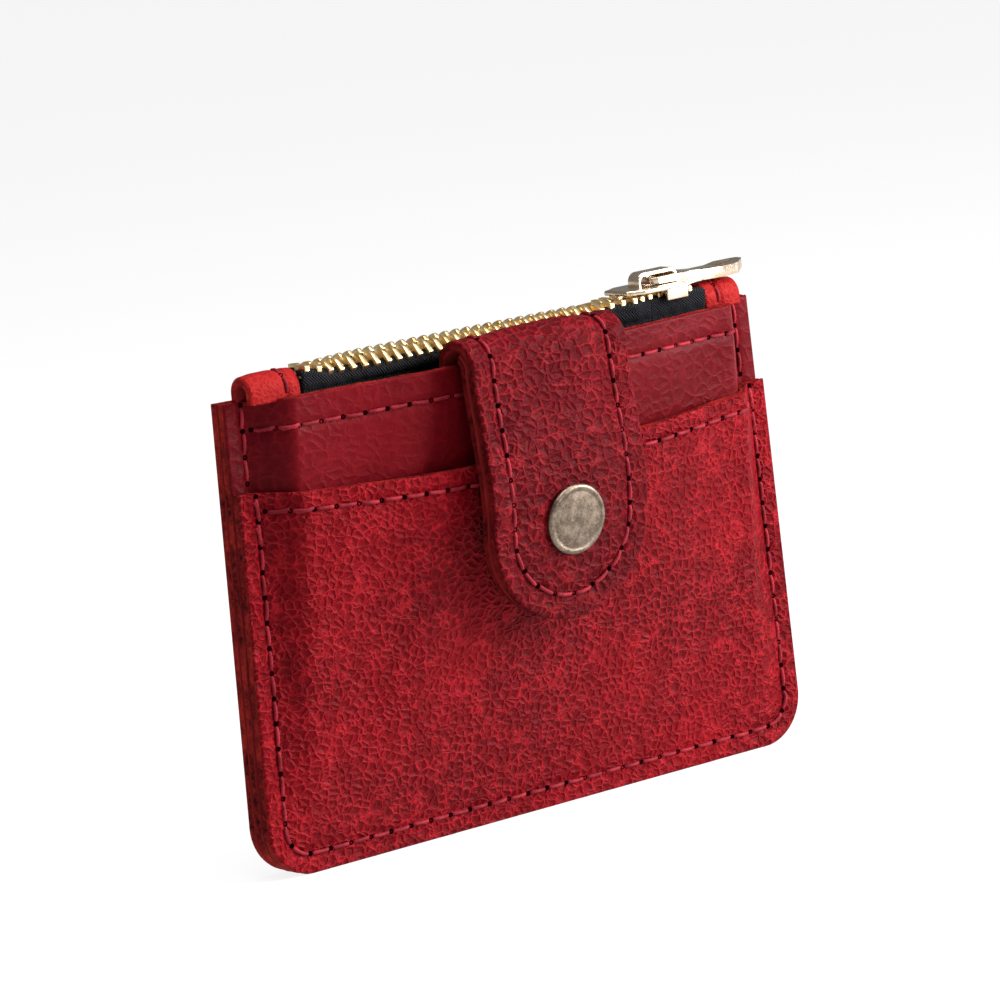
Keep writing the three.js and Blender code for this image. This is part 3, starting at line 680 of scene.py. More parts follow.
def sew(name, path, normals, body, node, end_backstitch=0, blend=None):
    """Stitches along a path of points on the leather. A stitch is an arch between two holes,
    of height sin(pi t)^0.45, sunk at its ends; a hole is a small ring with a sunk middle,
    painted near-black as painted shade inside it. The first and last end_backstitch stitches
    are sewn twice."""
    hole_gap, sunk, rise, hole_sides = 0.22, 0.42, 0.16, 12
    length = np.linalg.norm(np.diff(path, axis=0), axis=1).sum()
    count = max(1, round(length / stitch_length))
    holes = np.linspace(0, length, count + 1)
    draw = np.random.default_rng(len(path) + count)
    starts, ends = holes[:-1], holes[1:]
    drift = draw.normal(0, 0.07, (2, count))
    if end_backstitch:
        again = end_backstitch
        starts = np.concatenate([starts, starts[:again] + 0.5, starts[-again:] - 0.5])
        ends = np.concatenate([ends, ends[:again] + 0.4, ends[-again:] - 0.4])
        extra = np.full(2 * again, 0.34)
        drift = np.concatenate([drift, np.stack([extra, -extra])], 1)
    t = np.linspace(0, 1, 13)
    places = mix(starts[:, None] + hole_gap, ends[:, None] - hole_gap, t[None, :])
    centre = along_path(path, places.ravel()).reshape(*places.shape, 3)
    away = unit(along_path(path, places.ravel(), normals)).reshape(centre.shape)
    forward = unit(np.gradient(centre, axis=1))
    sideways = unit(np.cross(forward, away))
    arch = np.clip(np.sin(math.pi * t), 0, 1) ** 0.45
    lift = -sunk + (sunk + rise) * arch
    slant = mix(drift[0][:, None], drift[1][:, None], t[None, :])
    centre = centre + away * lift[None, :, None] + sideways * slant[:, :, None]
    points, faces = tubes(centre, sideways, away)
    thread = piece_from(name, points, faces, [thread_finish])
    place_piece(thread, body, blend, node)

    # Each hole is a small ring painted near-black, as painted shade inside the needle hole.
    angle = np.arange(hole_sides) * math.tau / hole_sides
    spot = along_path(path, holes)
    up = unit(along_path(path, holes, normals))
    tangent = unit(along_path(path, holes + 0.05) - along_path(path, holes - 0.05))
    tangent[-1] = unit(spot[-1] - along_path(path, holes[-1:] - 0.1))[0]
    tangent[0] = unit(along_path(path, holes[:1] + 0.1) - spot[0])[0]
    side = unit(np.cross(up, tangent))
    cosine, sine = np.cos(angle)[None, :, None], np.sin(angle)[None, :, None]
    circle = tangent[:, None, :] * cosine + side[:, None, :] * sine
    profile = ((0.44, -0.1), (0.42, 0.1), (0.3, 0.07), (0.02, -0.1))
    rings = [spot[:, None, :] + size * circle + up[:, None, :] * depth for size, depth in profile]
    grid = np.stack(rings, 1)
    one = grid_faces(len(profile), hole_sides, closed=True)
    first = np.arange(len(holes)) * len(profile) * hole_sides
    faces = (one[None] + first[:, None, None]).reshape(-1, 4)
    dots = piece_from(name + "_hole_shade", grid.reshape(-1, 3), faces, [hole_shade_finish])
    place_piece(dots, body, blend, None)


def place_piece(piece, body, blend=None, node=None):
    """Attaches a finished piece to its body, or only bakes its placement when a blend is given, and
    hides the CAD part that it replaces.
    """
    if node:
        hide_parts(node)
    if blend:
        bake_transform(piece)
    else:
        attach(piece, body)


def on_surface(flat, face, away, sink=0.2):
    """Points and outward directions on y = face(x, z), a little below the leather's surface,
    where the stitching has drawn it in."""
    x, z = flat[:, 0], flat[:, 1]
    step = 0.4
    across = (face(x + step, z) - face(x - step, z)) / (2 * step)
    upwards = (face(x, z + step) - face(x, z - step)) / (2 * step)
    normal = unit(away * np.stack([-across, np.ones_like(x), -upwards], 1))
    return np.stack([x, face(x, z), z], 1) - normal * sink, normal


def back_face(x, z):
    return np.full_like(x, back_middle + thickness / 2)


whole_seam = seam_path(panel_height - seam_start)
upper_seam = whole_seam[whole_seam[:, 1] > pocket_height + 1.2]
left_seam = upper_seam[upper_seam[:, 0] < 0]
right_seam = upper_seam[upper_seam[:, 0] > 0]
pocket_seam = seam_path(pocket_height - pocket_seam_start)
for name, flat, face_at, away, node, again in (
    ("front_seam_stitches", pocket_seam, pocket_face, -1, "seam_thread_front", 2),
    ("upper_left_stitches", left_seam, front_face, -1, None, 0),
    ("upper_right_stitches", right_seam, front_face, -1, None, 0),
    ("back_seam_stitches", whole_seam, back_face, 1, "seam_thread_back", 2),
    ("front_zip_stitches", zip_row(), front_face, -1, "zip_thread_front", 2),
    ("back_zip_stitches", zip_row(), back_face, 1, "zip_thread_back", 2),
    ("pocket_stitches", pocket_row(), pocket_face, -1, "pocket_thread", 2),
):
    sew(name, *on_surface(flat, face_at, away), "pouch", node, again)

# ---- Zip tapes ----
# Two black twill tapes, sewn inside the panels' top edges, which curve up and out to the
# teeth. Each is made in the lengths of the stretches of teeth.

tape_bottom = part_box("zip_tape_front")[0].z / MM
tape_thickness = 0.5
tab_inner = 45.0
zip_middle = sum(corner.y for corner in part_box("slider_crown")) / 2 / MM
chain_height = 85.3
chain_arch = 1.1
chain_lean = 42.0
chain_pitch = 2.3
tooth_width = 1.02
tooth_length = 3.45
head_length = 1.1
head_half = 0.4
tooth_mesh = 0.5
bead_length = 1.45
bead_half = 0.5
open_gap = 1.9
open_at = -28.0
slider_low, slider_high = (np.array(corner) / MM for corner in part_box("slider_body"))
slider_centre = (slider_low[0] + slider_high[0]) / 2
nose = slider_low[0] + 0.75
link_end = slider_low[0] + 5
tab_half = 3.0


def leaning(x):
    """1 where the chain stands open and its teeth lean, 0 where it lies flat at its ends."""
    return smooth((x + tab_inner - 1) / 8) * smooth((nose - 3 - x) / 8)


def head_offset(x):
    """From the teeth's heads to the middle of the zip: a shallow V, and a flare at the
    slider's nose."""
    left = (x + tab_inner) / (open_at + tab_inner)
    right = (link_end - x) / (link_end - open_at)
    opened = np.clip(np.minimum(left, right), 0, 1)
    return mix(-tooth_mesh, open_gap, opened) + 1.2 * np.exp(-(((x - nose) / 2.6) ** 2))


def tooth_place(x):
    """A front tooth's leg end and its direction to the head, as (y, z)."""
    lean = np.radians(mix(90, chain_lean, leaning(x)))
    along = np.stack([np.sin(lean), np.cos(lean)], -1)
    head = np.stack([zip_middle - head_offset(x), chain_height + chain_arch * leaning(x)], -1)
    return head - tooth_length * along, along


def tape_paint(where):
    """Herringbone twill: diagonal ribs that turn over at each stripe, on the tape's own UV. The
    ribs are painted paler blue-grey than the black cloth: the weave's pattern with painted
    highlight on it.
    """
    own = where.node("ShaderNodeUVMap", {}, {"uv_map": "cloth"})
    along, across = (own.node("ShaderNodeSeparateXYZ", {0: own}, out=k) for k in (0, 1))
    stripe = across.math("PINGPONG", across, 1.3)
    ribs = own.math("SINE", (along * 1.15 + stripe * 1.3) * 9.5)
    weft = own.math("SINE", along * 17.0) * own.math("SINE", across * 17.0)
    weave = ribs * 0.5 + weft * 0.25 + where.noise(3000, 4) * 0.6
    # Blue-grey on the ribs is painted highlight on the black cloth, over the weave's pattern.
    colour = weave.band(0.1, 1.1).blend(rgb(3, 3, 5), rgb(38, 40, 48))
    bump = weave.bump(0.00022)
    return {"Base Color": colour, "Roughness": 0.78, "Specular IOR Level": 0.15, "Normal": bump}


tape_finish = finish_of("black_twill", tape_paint)


def zip_tape(name, x_from, x_to, back, body, node, blend):
    """A tape from its sewn edge, upright, then along a quadratic curve to the leg ends of
    the teeth, wrapped over their bead."""
    count = int((x_to - x_from) / 0.5) + 2
    x = np.linspace(x_from, x_to, count)
    slack = (0 if back else 0.2) * smooth((tab_inner - np.abs(x)) / 25)
    base = zip_middle - tab_half + tape_thickness / 2 - slack
    leg, along = tooth_place(x)
    end = leg + along * bead_length
    start = np.stack([base, np.full(count, panel_height + 0.3)], -1)
    lift = end - (bead_length + 0.2) * along
    control = np.stack([lift[:, 0], mix(start[:, 1], lift[:, 1], 0.35)], -1)
    t = np.linspace(0, 1, 10)[:, None, None]
    curve = start * (1 - t) ** 2 + control * 2 * t * (1 - t) + lift * t**2
    low = np.stack([base, np.full(count, tape_bottom)], -1)
    s = np.linspace(0, 1, 12)[:-1, None, None]
    upright = low * (1 - s) + start * s
    top = lift + (end - lift) * np.linspace(0, 1, 9)[1:, None, None]
    middle = np.concatenate([upright, curve, top])
    z = middle[:, :, 1]
    middle[:, :, 0] += 0.07 * np.sin(x * 2.1 + z * 1.3) * np.exp(-((z - 82) / 4) ** 2)
    forward = unit(np.gradient(middle, axis=0))
    normal = np.stack([-forward[..., 1], forward[..., 0]], -1)
    half = np.full(middle.shape[:2] + (1,), tape_thickness / 2)
    half[-6:-1] = bead_half
    half[-7] = half[-1] = 0.8 * bead_half
    sides = []
    for sign in (1, -1):
        yz = middle + sign * half * normal
        if back:
            yz = np.stack([2 * zip_middle - yz[..., 0], yz[..., 1]], -1)
        xs = np.broadcast_to(x[None, :, None], yz.shape[:2] + (1,))
        sides.append(np.concatenate([xs, yz], -1))
    run = np.cumsum(np.linalg.norm(np.diff(middle, axis=0, prepend=middle[:1]), axis=-1), 0)
    outer, inner = sides
    if back:
        outer, inner = outer[:, ::-1], inner[:, ::-1]
        run = run[:, ::-1]
    rows, columns = outer.shape[:2]
    count = rows * columns
    border = border_of(rows, columns)
    following = np.roll(border, -1)
    wall = np.stack([border, border + count, following + count, following], -1)
    near_side, far_side = grid_faces(rows, columns), grid_faces(rows, columns, count)[:, ::-1]
    faces = np.concatenate([near_side, far_side, wall])
    points = np.concatenate([outer.reshape(-1, 3), inner.reshape(-1, 3)])
    piece = piece_from(name, points, faces, [tape_finish])
    cloth = piece.data.uv_layers.new(name="cloth")
    corner = np.zeros(len(piece.data.loops), np.int32)
    piece.data.loops.foreach_get("vertex_index", corner)
    flat = np.stack([np.tile(outer[..., 0].ravel(), 2), np.tile(run.ravel(), 2)], -1)
    cloth.data.foreach_set("uv", flat[corner].astype(np.float32).ravel())
    place_piece(piece, body, blend, node)


bend_low, bend_high = (0, 0, 0.079), (0, 0, 0.0836)
tape_end = tab_inner - 0.3
stretches = {
    "left": (-tape_end, open_at),
    "right": (open_at, link_end),
    "end": (link_end, tape_end),
}
for side, node in (("front", "zip_tape_front"), ("back", "zip_tape_back")):
    for stretch, (x_from, x_to) in stretches.items():
        chain = f"chain_{side}_{stretch}"
        blend = None if stretch == "end" else ("pouch", chain, bend_low, bend_high)
        stands_for = node if stretch == "right" else None
        zip_tape(f"{side}_tape_{stretch}", x_from, x_to, side == "back", "pouch", stands_for, blend)

# ---- Zip teeth ----
# Stamped brass teeth clamped on the tape's bead: two thick legs, a rounded shoulder and a
# narrower head. Their colour is pale brass clouded at random with a deeper tone.


def metal(name, bright, deep, rough):
    """Plated metal: even colour with faint cloudy tarnish and hairline scratches."""

    def paint(where):
        hair = where.noise(2400, 3, distortion=1.5)
        return {
            "Base Color": where.noise(420, 4).band(0.35, 0.75).blend(bright, deep),
            "Metallic": 1.0,
            "Roughness": rough + 0.12 * hair,
            "Normal": hair.bump(0.00002),
        }

    return finish_of(name, paint)


brass = metal("polished_brass", rgb(255, 228, 176), rgb(226, 184, 112), 0.26)

tooth_profile = np.array(
    [
        (0.0, -1.2), (2.1, -1.2), (2.1, -0.75), (3.45, -0.75), (3.45, 0.3), (3.25, 0.62),
        (2.85, 0.86), (2.4, 1.08), (1.9, 1.2), (0.2, 1.2), (0.0, 1.0),
    ]
)


def soften(piece, width, segments=2, angle=35):
    """Rounds a piece's sharp edges."""
    bevel = piece.modifiers.new("rounded", "BEVEL")
    bevel.width = width * MM
    bevel.segments = segments
    bevel.limit_method = "ANGLE"
    bevel.angle_limit = math.radians(angle)
    bevel.harden_normals = False


def prism_faces(corners, start=0):
    """Faces of a prism whose two ends have the corners 0..n-1 and n..2n-1."""
    ring = np.arange(corners)
    following = np.roll(ring, -1)
    walls = [[int(a), int(b), int(b + corners), int(a + corners)] for a, b in zip(ring, following)]
    ends = [list(range(corners))[::-1], list(range(corners, 2 * corners))]
    return [[start + k for k in face] for face in walls + ends]


def solid_from(name, points, faces, finishes):
    """A mesh object from points in millimetres and faces with any number of corners."""
    mesh = bpy.data.meshes.new(name)
    mesh.from_pydata((np.asarray(points, float) * MM).tolist(), [], faces)
    for finish in finishes:
        mesh.materials.append(finish)
    mesh.update()
    made = bpy.data.objects.new(name, mesh)
    bpy.context.collection.objects.link(made)
    return made


def teeth(name, places, back, body, node):
    """A row of teeth: the profile carried across each tooth's width, set at its place."""
    leg, along = tooth_place(places)
    out = np.stack([-along[:, 1], along[:, 0]], -1)
    lengthwise = tooth_profile[None, :, :1] * along[:, None, :]
    yz = leg[:, None, :] + lengthwise + tooth_profile[None, :, 1:] * out[:, None, :]
    if back:
        yz = np.stack([2 * zip_middle - yz[..., 0], yz[..., 1]], -1)
    corners = len(tooth_profile)
    half = np.where(tooth_profile[:, 0] > tooth_length - head_length, head_half, tooth_width / 2)
    points, faces = [], []
    for k, x in enumerate(places):
        for way in (-1, 1):
            points.extend((x + way * h, y, z) for h, (y, z) in zip(half, yz[k]))
        made = prism_faces(corners, 2 * corners * k)
        faces.extend(made if back else [face[::-1] for face in made])
    piece = solid_from(name, points, faces, [brass])
    soften(piece, 0.16, 2)
    piece.data.shade_smooth()
    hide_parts(node)
    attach(piece, body)


first_tooth = 1.6 - tab_inner
last_tooth = tab_inner - 2.2
chain_ends = {
    "left": (first_tooth, open_at),
    "right": (open_at, link_end),
    "end": (link_end, last_tooth),
}
for side, shift in (("front", 0), ("back", chain_pitch / 2)):
    count = int((last_tooth - first_tooth) / chain_pitch) + 2
    every = first_tooth + shift + chain_pitch * np.arange(count)
    for stretch, (x_from, x_to) in chain_ends.items():
        chosen = every[(every >= x_from) & (every <= x_to)]
        body = "pouch" if stretch == "end" else f"chain_{side}_{stretch}"
        node = f"zip_teeth_{side}_{stretch}"
        teeth(f"{side}_teeth_{stretch}", chosen, side == "back", body, node)

# ---- End tabs ----
# A short strip of thin leather folded over each end of the zip and tucked between the
# panels, held by one line of stitches across it.

tab_finish = grained_leather(
    "tab_leather",
    rgb(122, 13, 15),
    rgb(156, 29, 28),
    rgb(180, 48, 43),
    size=0.0011,
    seed=0.7,
    relief=0.00008,
    rough=0.45,
    veined=0.5,
)
tab_edge = cut_edge("tab_edge", rgb(126, 20, 20), rgb(196, 60, 50))
arch_height = panel_height + 1.3
tab_leather = 1.5


def tab_line(radius, low):
    """y and z across a strip folded over the zip: straight legs joined by half a circle."""
    leg = arch_height - low
    length = 2 * leg + math.pi * radius
    place = np.linspace(0, 1, 46) * length
    angle = np.clip((place - leg) / radius, 0, math.pi)
    y = zip_middle - radius * np.cos(angle)
    falling = place > leg + math.pi * radius
    z = np.where(falling, low + length - place, arch_height + radius * np.sin(angle))
    return y, np.where(place < leg, low + place, z)


def end_tab(side, name, node, x_inner, x_outer):
    """A tab between two places along the zip: drawn in along its stitching, fuller between."""
    x = closer_at_ends(min(x_inner, x_outer), max(x_inner, x_outer), 0.8, 0.3)
    low = panel_height - 0.4
    sides = []
    stitch_at = x_inner + side * 3
    pinch = 0.38 * np.exp(-(((x - stitch_at) / 0.75) ** 2))
    ends = np.minimum(x - x.min(), x.max() - x)
    swell = 0.25 * smooth(ends / 3)
    outer_fall = rounded(ends, 0.45) + pinch - swell
    inner_fall = -rounded(ends, 0.2) + pinch * 0.5 - swell
    for radius, fall in ((tab_half, outer_fall), (tab_half - tab_leather, inner_fall)):
        lines = []
        for place, shrink in zip(x, fall):
            y, z = tab_line(radius - shrink, low)
            lines.append(np.stack([np.full_like(y, place), y, z], -1))
        sides.append(np.stack(lines, 1))
    outer, inner = sides
    piece = leather_piece(name, outer, inner, [tab_finish, tab_edge, suede], 21 + side)
    place_piece(piece, "pouch", None, node)
    angle = np.linspace(math.radians(-25), math.radians(205), 90)
    radius = tab_half - 0.38 + 0.25
    normal = unit(np.stack([np.zeros(90), -np.cos(angle), np.sin(angle)], -1))
    y = zip_middle - radius * np.cos(angle)
    z = arch_height + radius * np.sin(angle)
    arch = np.stack([np.full(90, stitch_at), y, z], -1)
    thread_node = "tab_thread_left" if side < 0 else "tab_thread_right"
    sew(f"{name}_stitches", arch, normal, "pouch", thread_node)


left_box, right_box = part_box("zip_tab_left"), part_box("zip_tab_right")
end_tab(-1, "left_tab", "zip_tab_left", left_box[1].x / MM, left_box[0].x / MM - 0.6)
end_tab(1, "right_tab", "zip_tab_right", right_box[0].x / MM, right_box[1].x / MM - 1.6)

# ---- Slider ----
# Die-cast and plated pale gold: a shield-shaped top plate with its edges turned down over the
# chain, a base plate under the chain, a thin wedge between them, and the crown on top.

pale_gold = metal("pale_gold", rgb(222, 204, 184), rgb(190, 164, 134), 0.2)
plate_bottom = chain_height + 1.5
plate_top = slider_high[2]
slider_half = (slider_high[0] - slider_low[0]) / 2
wide = (slider_high[1] - slider_low[1]) / 2


def loft(name, outline, levels, finishes):
    """A closed solid: one outline, in (x, y), grown outwards by a length at each height."""
    corners = len(outline)
    centre = outline.mean(0)
    out = outline - centre
    size = np.linalg.norm(out, axis=1, keepdims=True)
    rings = []
    for height, grow in levels:
        ring = centre + out * (1 + grow / size)
        rings.append(np.concatenate([ring, np.full((corners, 1), height)], 1))
    points = np.concatenate(rings)
    faces = grid_faces(len(levels), corners, closed=True).tolist()
    faces.append(list(range(corners))[::-1])
    faces.append(list(range(corners * (len(levels) - 1), corners * len(levels))))
    return solid_from(name, points, faces, finishes)


def shield(length, half, nose_half, corner):
    """The slider from above: a rounded nose that widens to parallel sides and a round tail."""
    t = np.linspace(0, 1, 14)
    nose_side = np.stack([-length + 3.4 * t, mix(nose_half, half, smooth(t))], 1)
    turn = np.linspace(math.pi / 2, 0, 8)
    tail_x = length - corner + corner * np.cos(turn)
    tail_y = half - corner + corner * np.sin(turn)
    upper = np.concatenate([nose_side, np.stack([tail_x, tail_y], 1)])
    lower = upper[::-1] * (1, -1)
    return np.concatenate([upper, lower])[::-1]


plate_levels = [
    (plate_bottom, -0.12),
    (plate_bottom + 0.12, 0.0),
    (plate_top - 0.3, 0.0),
    (plate_top - 0.08, -0.18),
    (plate_top, -0.5),
]
plate_outline = shield(slider_half, wide, wide - 1.6, 1.1) + (slider_centre, zip_middle)
plate = loft("slider_plate", plate_outline, plate_levels, [pale_gold])
plate.data.shade_smooth()
soften(plate, 0.06, 1, 50)
place_piece(plate, "slider", None, "slider_body")


def bar(name, low, high, round_by):
    """A rounded bar of the slider between two corners."""
    x0, y0, z0 = low
    x1, y1, z1 = high
    outline = np.array([(x0, y0), (x1, y0), (x1, y1), (x0, y1)])
    points = [(x, y, z) for z in (z0, z1) for x, y in outline]
    piece = solid_from(name, points, prism_faces(4), [pale_gold])
    soften(piece, round_by, 3, 30)
    piece.data.shade_smooth()
    place_piece(piece, "slider")


flange = 0.85
flange_from = slider_high[0] - 4.9
for side, name in ((-1, "slider_front_lip"), (1, "slider_back_lip")):
    outer = zip_middle + side * wide
    inner = outer - side * flange
    low = (flange_from, min(inner, outer), plate_bottom - 1.9)
    high = (slider_high[0], max(inner, outer), plate_bottom + 0.5)
    bar(name, low, high, 0.25)
base_top = slider_low[2] + 0.9
base_half, wedge_half = 2.2, 0.45
bar(
    "slider_base",
    (slider_low[0], zip_middle - base_half, slider_low[2]),
    (slider_high[0], zip_middle + base_half, base_top),
    0.3,
)
bar(
    "slider_wedge",
    (slider_low[0] + 0.1, zip_middle - wedge_half, base_top - 0.3),
    (slider_low[0] + 1.5, zip_middle + wedge_half, plate_bottom + 0.3),
    0.2,
)

crown_low, crown_high = (np.array(corner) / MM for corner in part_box("slider_crown"))


def crown():
    """The bridge over the pull's bar: a flat strip bent into a low arch with round shoulders.
    Its outline is an outer and an inner rounded arch."""
    left, right = crown_low[0] + 1.2, crown_high[0] + 0.2
    peak, foot, band = crown_high[2] - 0.05, plate_top - 0.25, 0.85
    turn = np.linspace(math.pi, 0, 25)

    def arch(inset, shoulder):
        centre_left, centre_right = left + inset + shoulder, right - inset - shoulder
        x = np.where(turn > math.pi / 2, centre_left, centre_right) + shoulder * np.cos(turn)
        top = peak - inset
        return np.stack([x, top - shoulder + shoulder * np.sin(turn)], 1)

    outer = np.concatenate([[(left, foot)], arch(0, 1.75), [(right, foot)]])
    inner = np.concatenate([[(left + band, foot)], arch(band, 0.95), [(right - band, foot)]])
    half = 1.5
    rows = []
    for path, y in ((outer, -half), (outer, half), (inner, half), (inner, -half)):
        rows.append(np.stack([path[:, 0], np.full(len(path), zip_middle + y), path[:, 1]], 1))
    points = np.concatenate(rows)
    count = len(outer)
    faces = grid_faces(4, count).tolist()
    faces += [[3 * count + k, 3 * count + k + 1, k + 1, k] for k in range(count - 1)]
    feet = [k * count for k in range(4)]
    faces += [feet, [k + count - 1 for k in (feet[0], feet[3], feet[2], feet[1])]]
    piece = solid_from("crown", points, faces, [pale_gold])
    soften(piece, 0.28, 3, 40)
    piece.data.shade_smooth()
    place_piece(piece, "slider", None, "slider_crown")


crown()

# ---- Pull ----
# One flat stamping: an eye with a long slot over the crown, a waist, and a flared tip with a
# triangular window. It is thin at the eye, sinks to lie on the end tab and rises at its tip.

pull_low, pull_high = (np.array(corner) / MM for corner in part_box("pull_tab"))
eye_back = 0.55
pivot_x = pull_low[0] + eye_back
pivot_z = plate_top + 0.85


def pull():
    """Four lines run along the pull: two outer edges and two inner ones. Between the inner
    ones the metal is left out over the slot and the window."""
    length = pull_high[0] - pivot_x
    slot = (0.55, 7.0)
    window = (length - 5.4, length - 1.2)
    stations = np.linspace(-eye_back, length, 64)
    stations = np.unique(np.concatenate([stations, slot, window]))
    along = [-eye_back, -0.2, 0.6, 5.8, 8.5, 11.5, 16.0, length - 3.2, length - 0.6, length]
    outer = np.interp(stations, along, [2.2, 2.8, 3.15, 3.1, 2.35, 2.1, 2.6, 3.3, 1.5, 0.7])
    along = [0.55, 0.9, 6.3, 7.0, 8.0, *window]
    inner = np.interp(stations, along, [1.3, 1.8, 1.8, 1.2, 0.9, 1.75, 0.12])
    inner = np.minimum(inner, outer - 0.5)
    along = [-eye_back, 6.0, 9.0, 12.0, 16.0, 19.5, length]
    under = np.interp(stations, along, [-0.5, -0.7, -1.3, -1.7, -1.72, -1.45, -0.5])
    over = np.interp(stations, along, [0.5, 0.52, 0.45, 0.2, 0.15, 0.45, 0.75])
    lines = np.stack([-outer, -inner, inner, outer], 1)
    count = len(stations)
    x = np.repeat(stations[:, None], 4, 1) + pivot_x
    heights = (np.repeat(level[:, None], 4, 1) + pivot_z for level in (over, under))
    sheets = [np.stack([x, lines + zip_middle, z], -1).reshape(-1, 3) for z in heights]
    points = np.concatenate(sheets)
    shift = count * 4
    middle = (stations[1:] + stations[:-1]) / 2
    in_slot = (middle > slot[0]) & (middle < slot[1])
    solid = ~(in_slot | ((middle > window[0]) & (middle < window[1])))
    faces = []
    for i in range(count - 1):
        a, b = 4 * i, 4 * i + 4
        for band in (0, 1, 2):
            if band == 1 and not solid[i]:
                continue
            quad = [a + band, b + band, b + band + 1, a + band + 1]
            faces.append(quad)
            faces.append([shift + k for k in quad[::-1]])
        faces.append([shift + a, shift + b, b, a])
        faces.append([a + 3, b + 3, shift + b + 3, shift + a + 3])
        if not solid[i]:
            faces.append([a + 1, b + 1, shift + b + 1, shift + a + 1])
            faces.append([shift + a + 2, shift + b + 2, b + 2, a + 2])
    state = np.concatenate([[True], solid, [True]])
    for i in range(count):
        a = 4 * i
        if i == 0:
            faces += [[shift + a + k + 1, shift + a + k, a + k, a + k + 1] for k in range(3)]
        elif i == count - 1:
            faces += [[a + k + 1, a + k, shift + a + k, shift + a + k + 1] for k in range(3)]
        elif state[i] and not state[i + 1]:
            faces.append([a + 2, a + 1, shift + a + 1, shift + a + 2])
        elif state[i + 1] and not state[i]:
            faces.append([a + 1, a + 2, shift + a + 2, shift + a + 1])
    piece = solid_from("pull", points, faces, [pale_gold])
    soften(piece, 0.2, 3, 40)
    piece.data.shade_smooth()
    place_piece(piece, "pull", None, "pull_tab")


pull()

# ---- Strap ----
# A root inside the pouch, and two layers sewn together round their edge: the outer one comes
# over the front panel's top edge and hangs down the front, and the lining starts at the fold.


def on_centre(surface, z):
    """A surface's y on the pouch's centre line at height z."""
    return float(surface(np.float64(0), np.float64(z)))


half_leather = 0.9
strap_leather = 1.8
strap_gap = 0.3
double = 3.9
arch_radius = 5.05
arch_y = on_centre(front_middle, panel_height) + half_leather + strap_gap + strap_leather
arch_y -= arch_radius
arch_z = panel_height - 0.5
snap_z = panel_height - 28
snap_stack = 3
tip_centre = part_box("strap_outer")[0].z / MM + strap_half
slope = (on_centre(pocket_middle, snap_z + 1) - on_centre(pocket_middle, snap_z - 1)) / 2
snap_tilt = math.atan(slope)
snap_face = on_centre(pocket_middle, snap_z) - half_leather
at_snap = snap_face - (snap_stack + double / 2) / math.cos(snap_tilt)
hang_from = arch_y - arch_radius + double / 2


def strap_line(z):
    """The strap's middle line where it hangs: upright at the fold, and parallel to the pocket
    at the snap."""
    t = np.clip((z - snap_z) / (arch_z - snap_z), 0, 1)
    above = mix(at_snap, hang_from, smooth(t)) + slope * (arch_z - snap_z) * t * (1 - t) ** 2
    return np.where(z <= snap_z, at_snap + slope * (z - snap_z), above)


def strap_profile(offset, arch_from=0.0):
    """Points and normals, in (y, z), along the strap from the fold to the tip, at an offset
    from its outer face, and their heights before the offset: an arc over the top edge, then
    the hanging line."""
    steps = 33
    angle = np.linspace(arch_from, math.pi, steps + 1)[:-1]
    radius = arch_radius - offset
    fold = np.stack([arch_y + radius * np.cos(angle), arch_z + radius * np.sin(angle)], 1)
    fold_out = np.stack([np.cos(angle), np.sin(angle)], 1)
    tip = tip_centre - strap_half * np.sin(np.linspace(0, math.radians(88), 22))[1:]
    heights = np.concatenate([closer_at_ends(tip_centre, arch_z, 0.3, 0.62)[::-1], tip])
    line = strap_line(heights)
    direction = np.gradient(line, heights)
    out = unit(np.stack([-np.ones_like(line), direction], 1))
    hang = np.stack([line, heights], 1) + out * (double / 2 - offset)
    level = np.concatenate([np.full(steps, arch_z), heights])
    return np.concatenate([fold, hang]), np.concatenate([fold_out, out]), level


def strap_width(level):
    """Half the strap's width, ending in half a circle."""
    return np.sqrt(np.clip(strap_half**2 - np.clip(tip_centre - level, 0, None) ** 2, 0, None))


def strap_layer(name, node, near_offset, far_offset, finishes, seed, arch_from=0.0, row=True):
    """One layer, between two offsets from the strap's outer face. A row of stitching sinks a
    channel in it and leaves its middle crowned."""
    across = closer_at_ends(-1, 1, 0.035, 0.03)
    near_line, out, level = strap_profile(near_offset, arch_from)
    far_line, _, _ = strap_profile(far_offset, arch_from)
    half = strap_width(level)
    x = across[None, :] * half[:, None]
    tip_gap = strap_half - np.hypot(x, np.clip(tip_centre - level, 0, None)[:, None])
    gap = np.where(level[:, None] < tip_centre, tip_gap, strap_half - np.abs(x))
    sunk = 0.3 * np.exp(-(((gap - strap_row) / 0.8) ** 2)) if row else 0
    crown_up = 0.35 * smooth((gap - 4.5) / 7) if row else 0
    lumps = 0.14 * ripple(x, level[:, None] + near_line[:, 0][:, None], seed, 15) * smooth(gap / 5)
    fall = -rounded(gap, 0.5) - sunk + crown_up + lumps
    face_yz = near_line[:, None, :] + out[:, None, :] * fall[..., None]
    flesh_yz = far_line[:, None, :] + out[:, None, :] * rounded(gap, 0.3)[..., None]
    face = np.concatenate([x[..., None], face_yz], -1)[::-1]
    flesh = np.concatenate([x[..., None], flesh_yz], -1)[::-1]
    piece = leather_piece(name, face, flesh, finishes, seed)
    place_piece(piece, "strap", fold_blend, node)


strap_row = 4.2
fold_blend = ("pouch", "strap", (0, -0.008, 0.0845), (0, -0.0155, 0.0795))
strap_grain = grained_leather(
    "strap_grain",
    rgb(64, 2, 8),
    rgb(90, 5, 13),
    rgb(138, 22, 31),
    size=0.002,
    seed=0.13,
    relief=0.00032,
    rough=0.4,
)
strap_edge = cut_edge("strap_edge", rgb(44, 6, 8), rgb(128, 28, 28))
strap_layer("strap_outer_leather", "strap_outer", 0.0, 1.85, [strap_grain, strap_edge, suede], 31)
strap_layer(
    "strap_lining_leather",
    "strap_lining",
    2.0,
    3.85,
    [suede, strap_edge, smooth_red],
    32,
    math.radians(115),
    row=False,
)

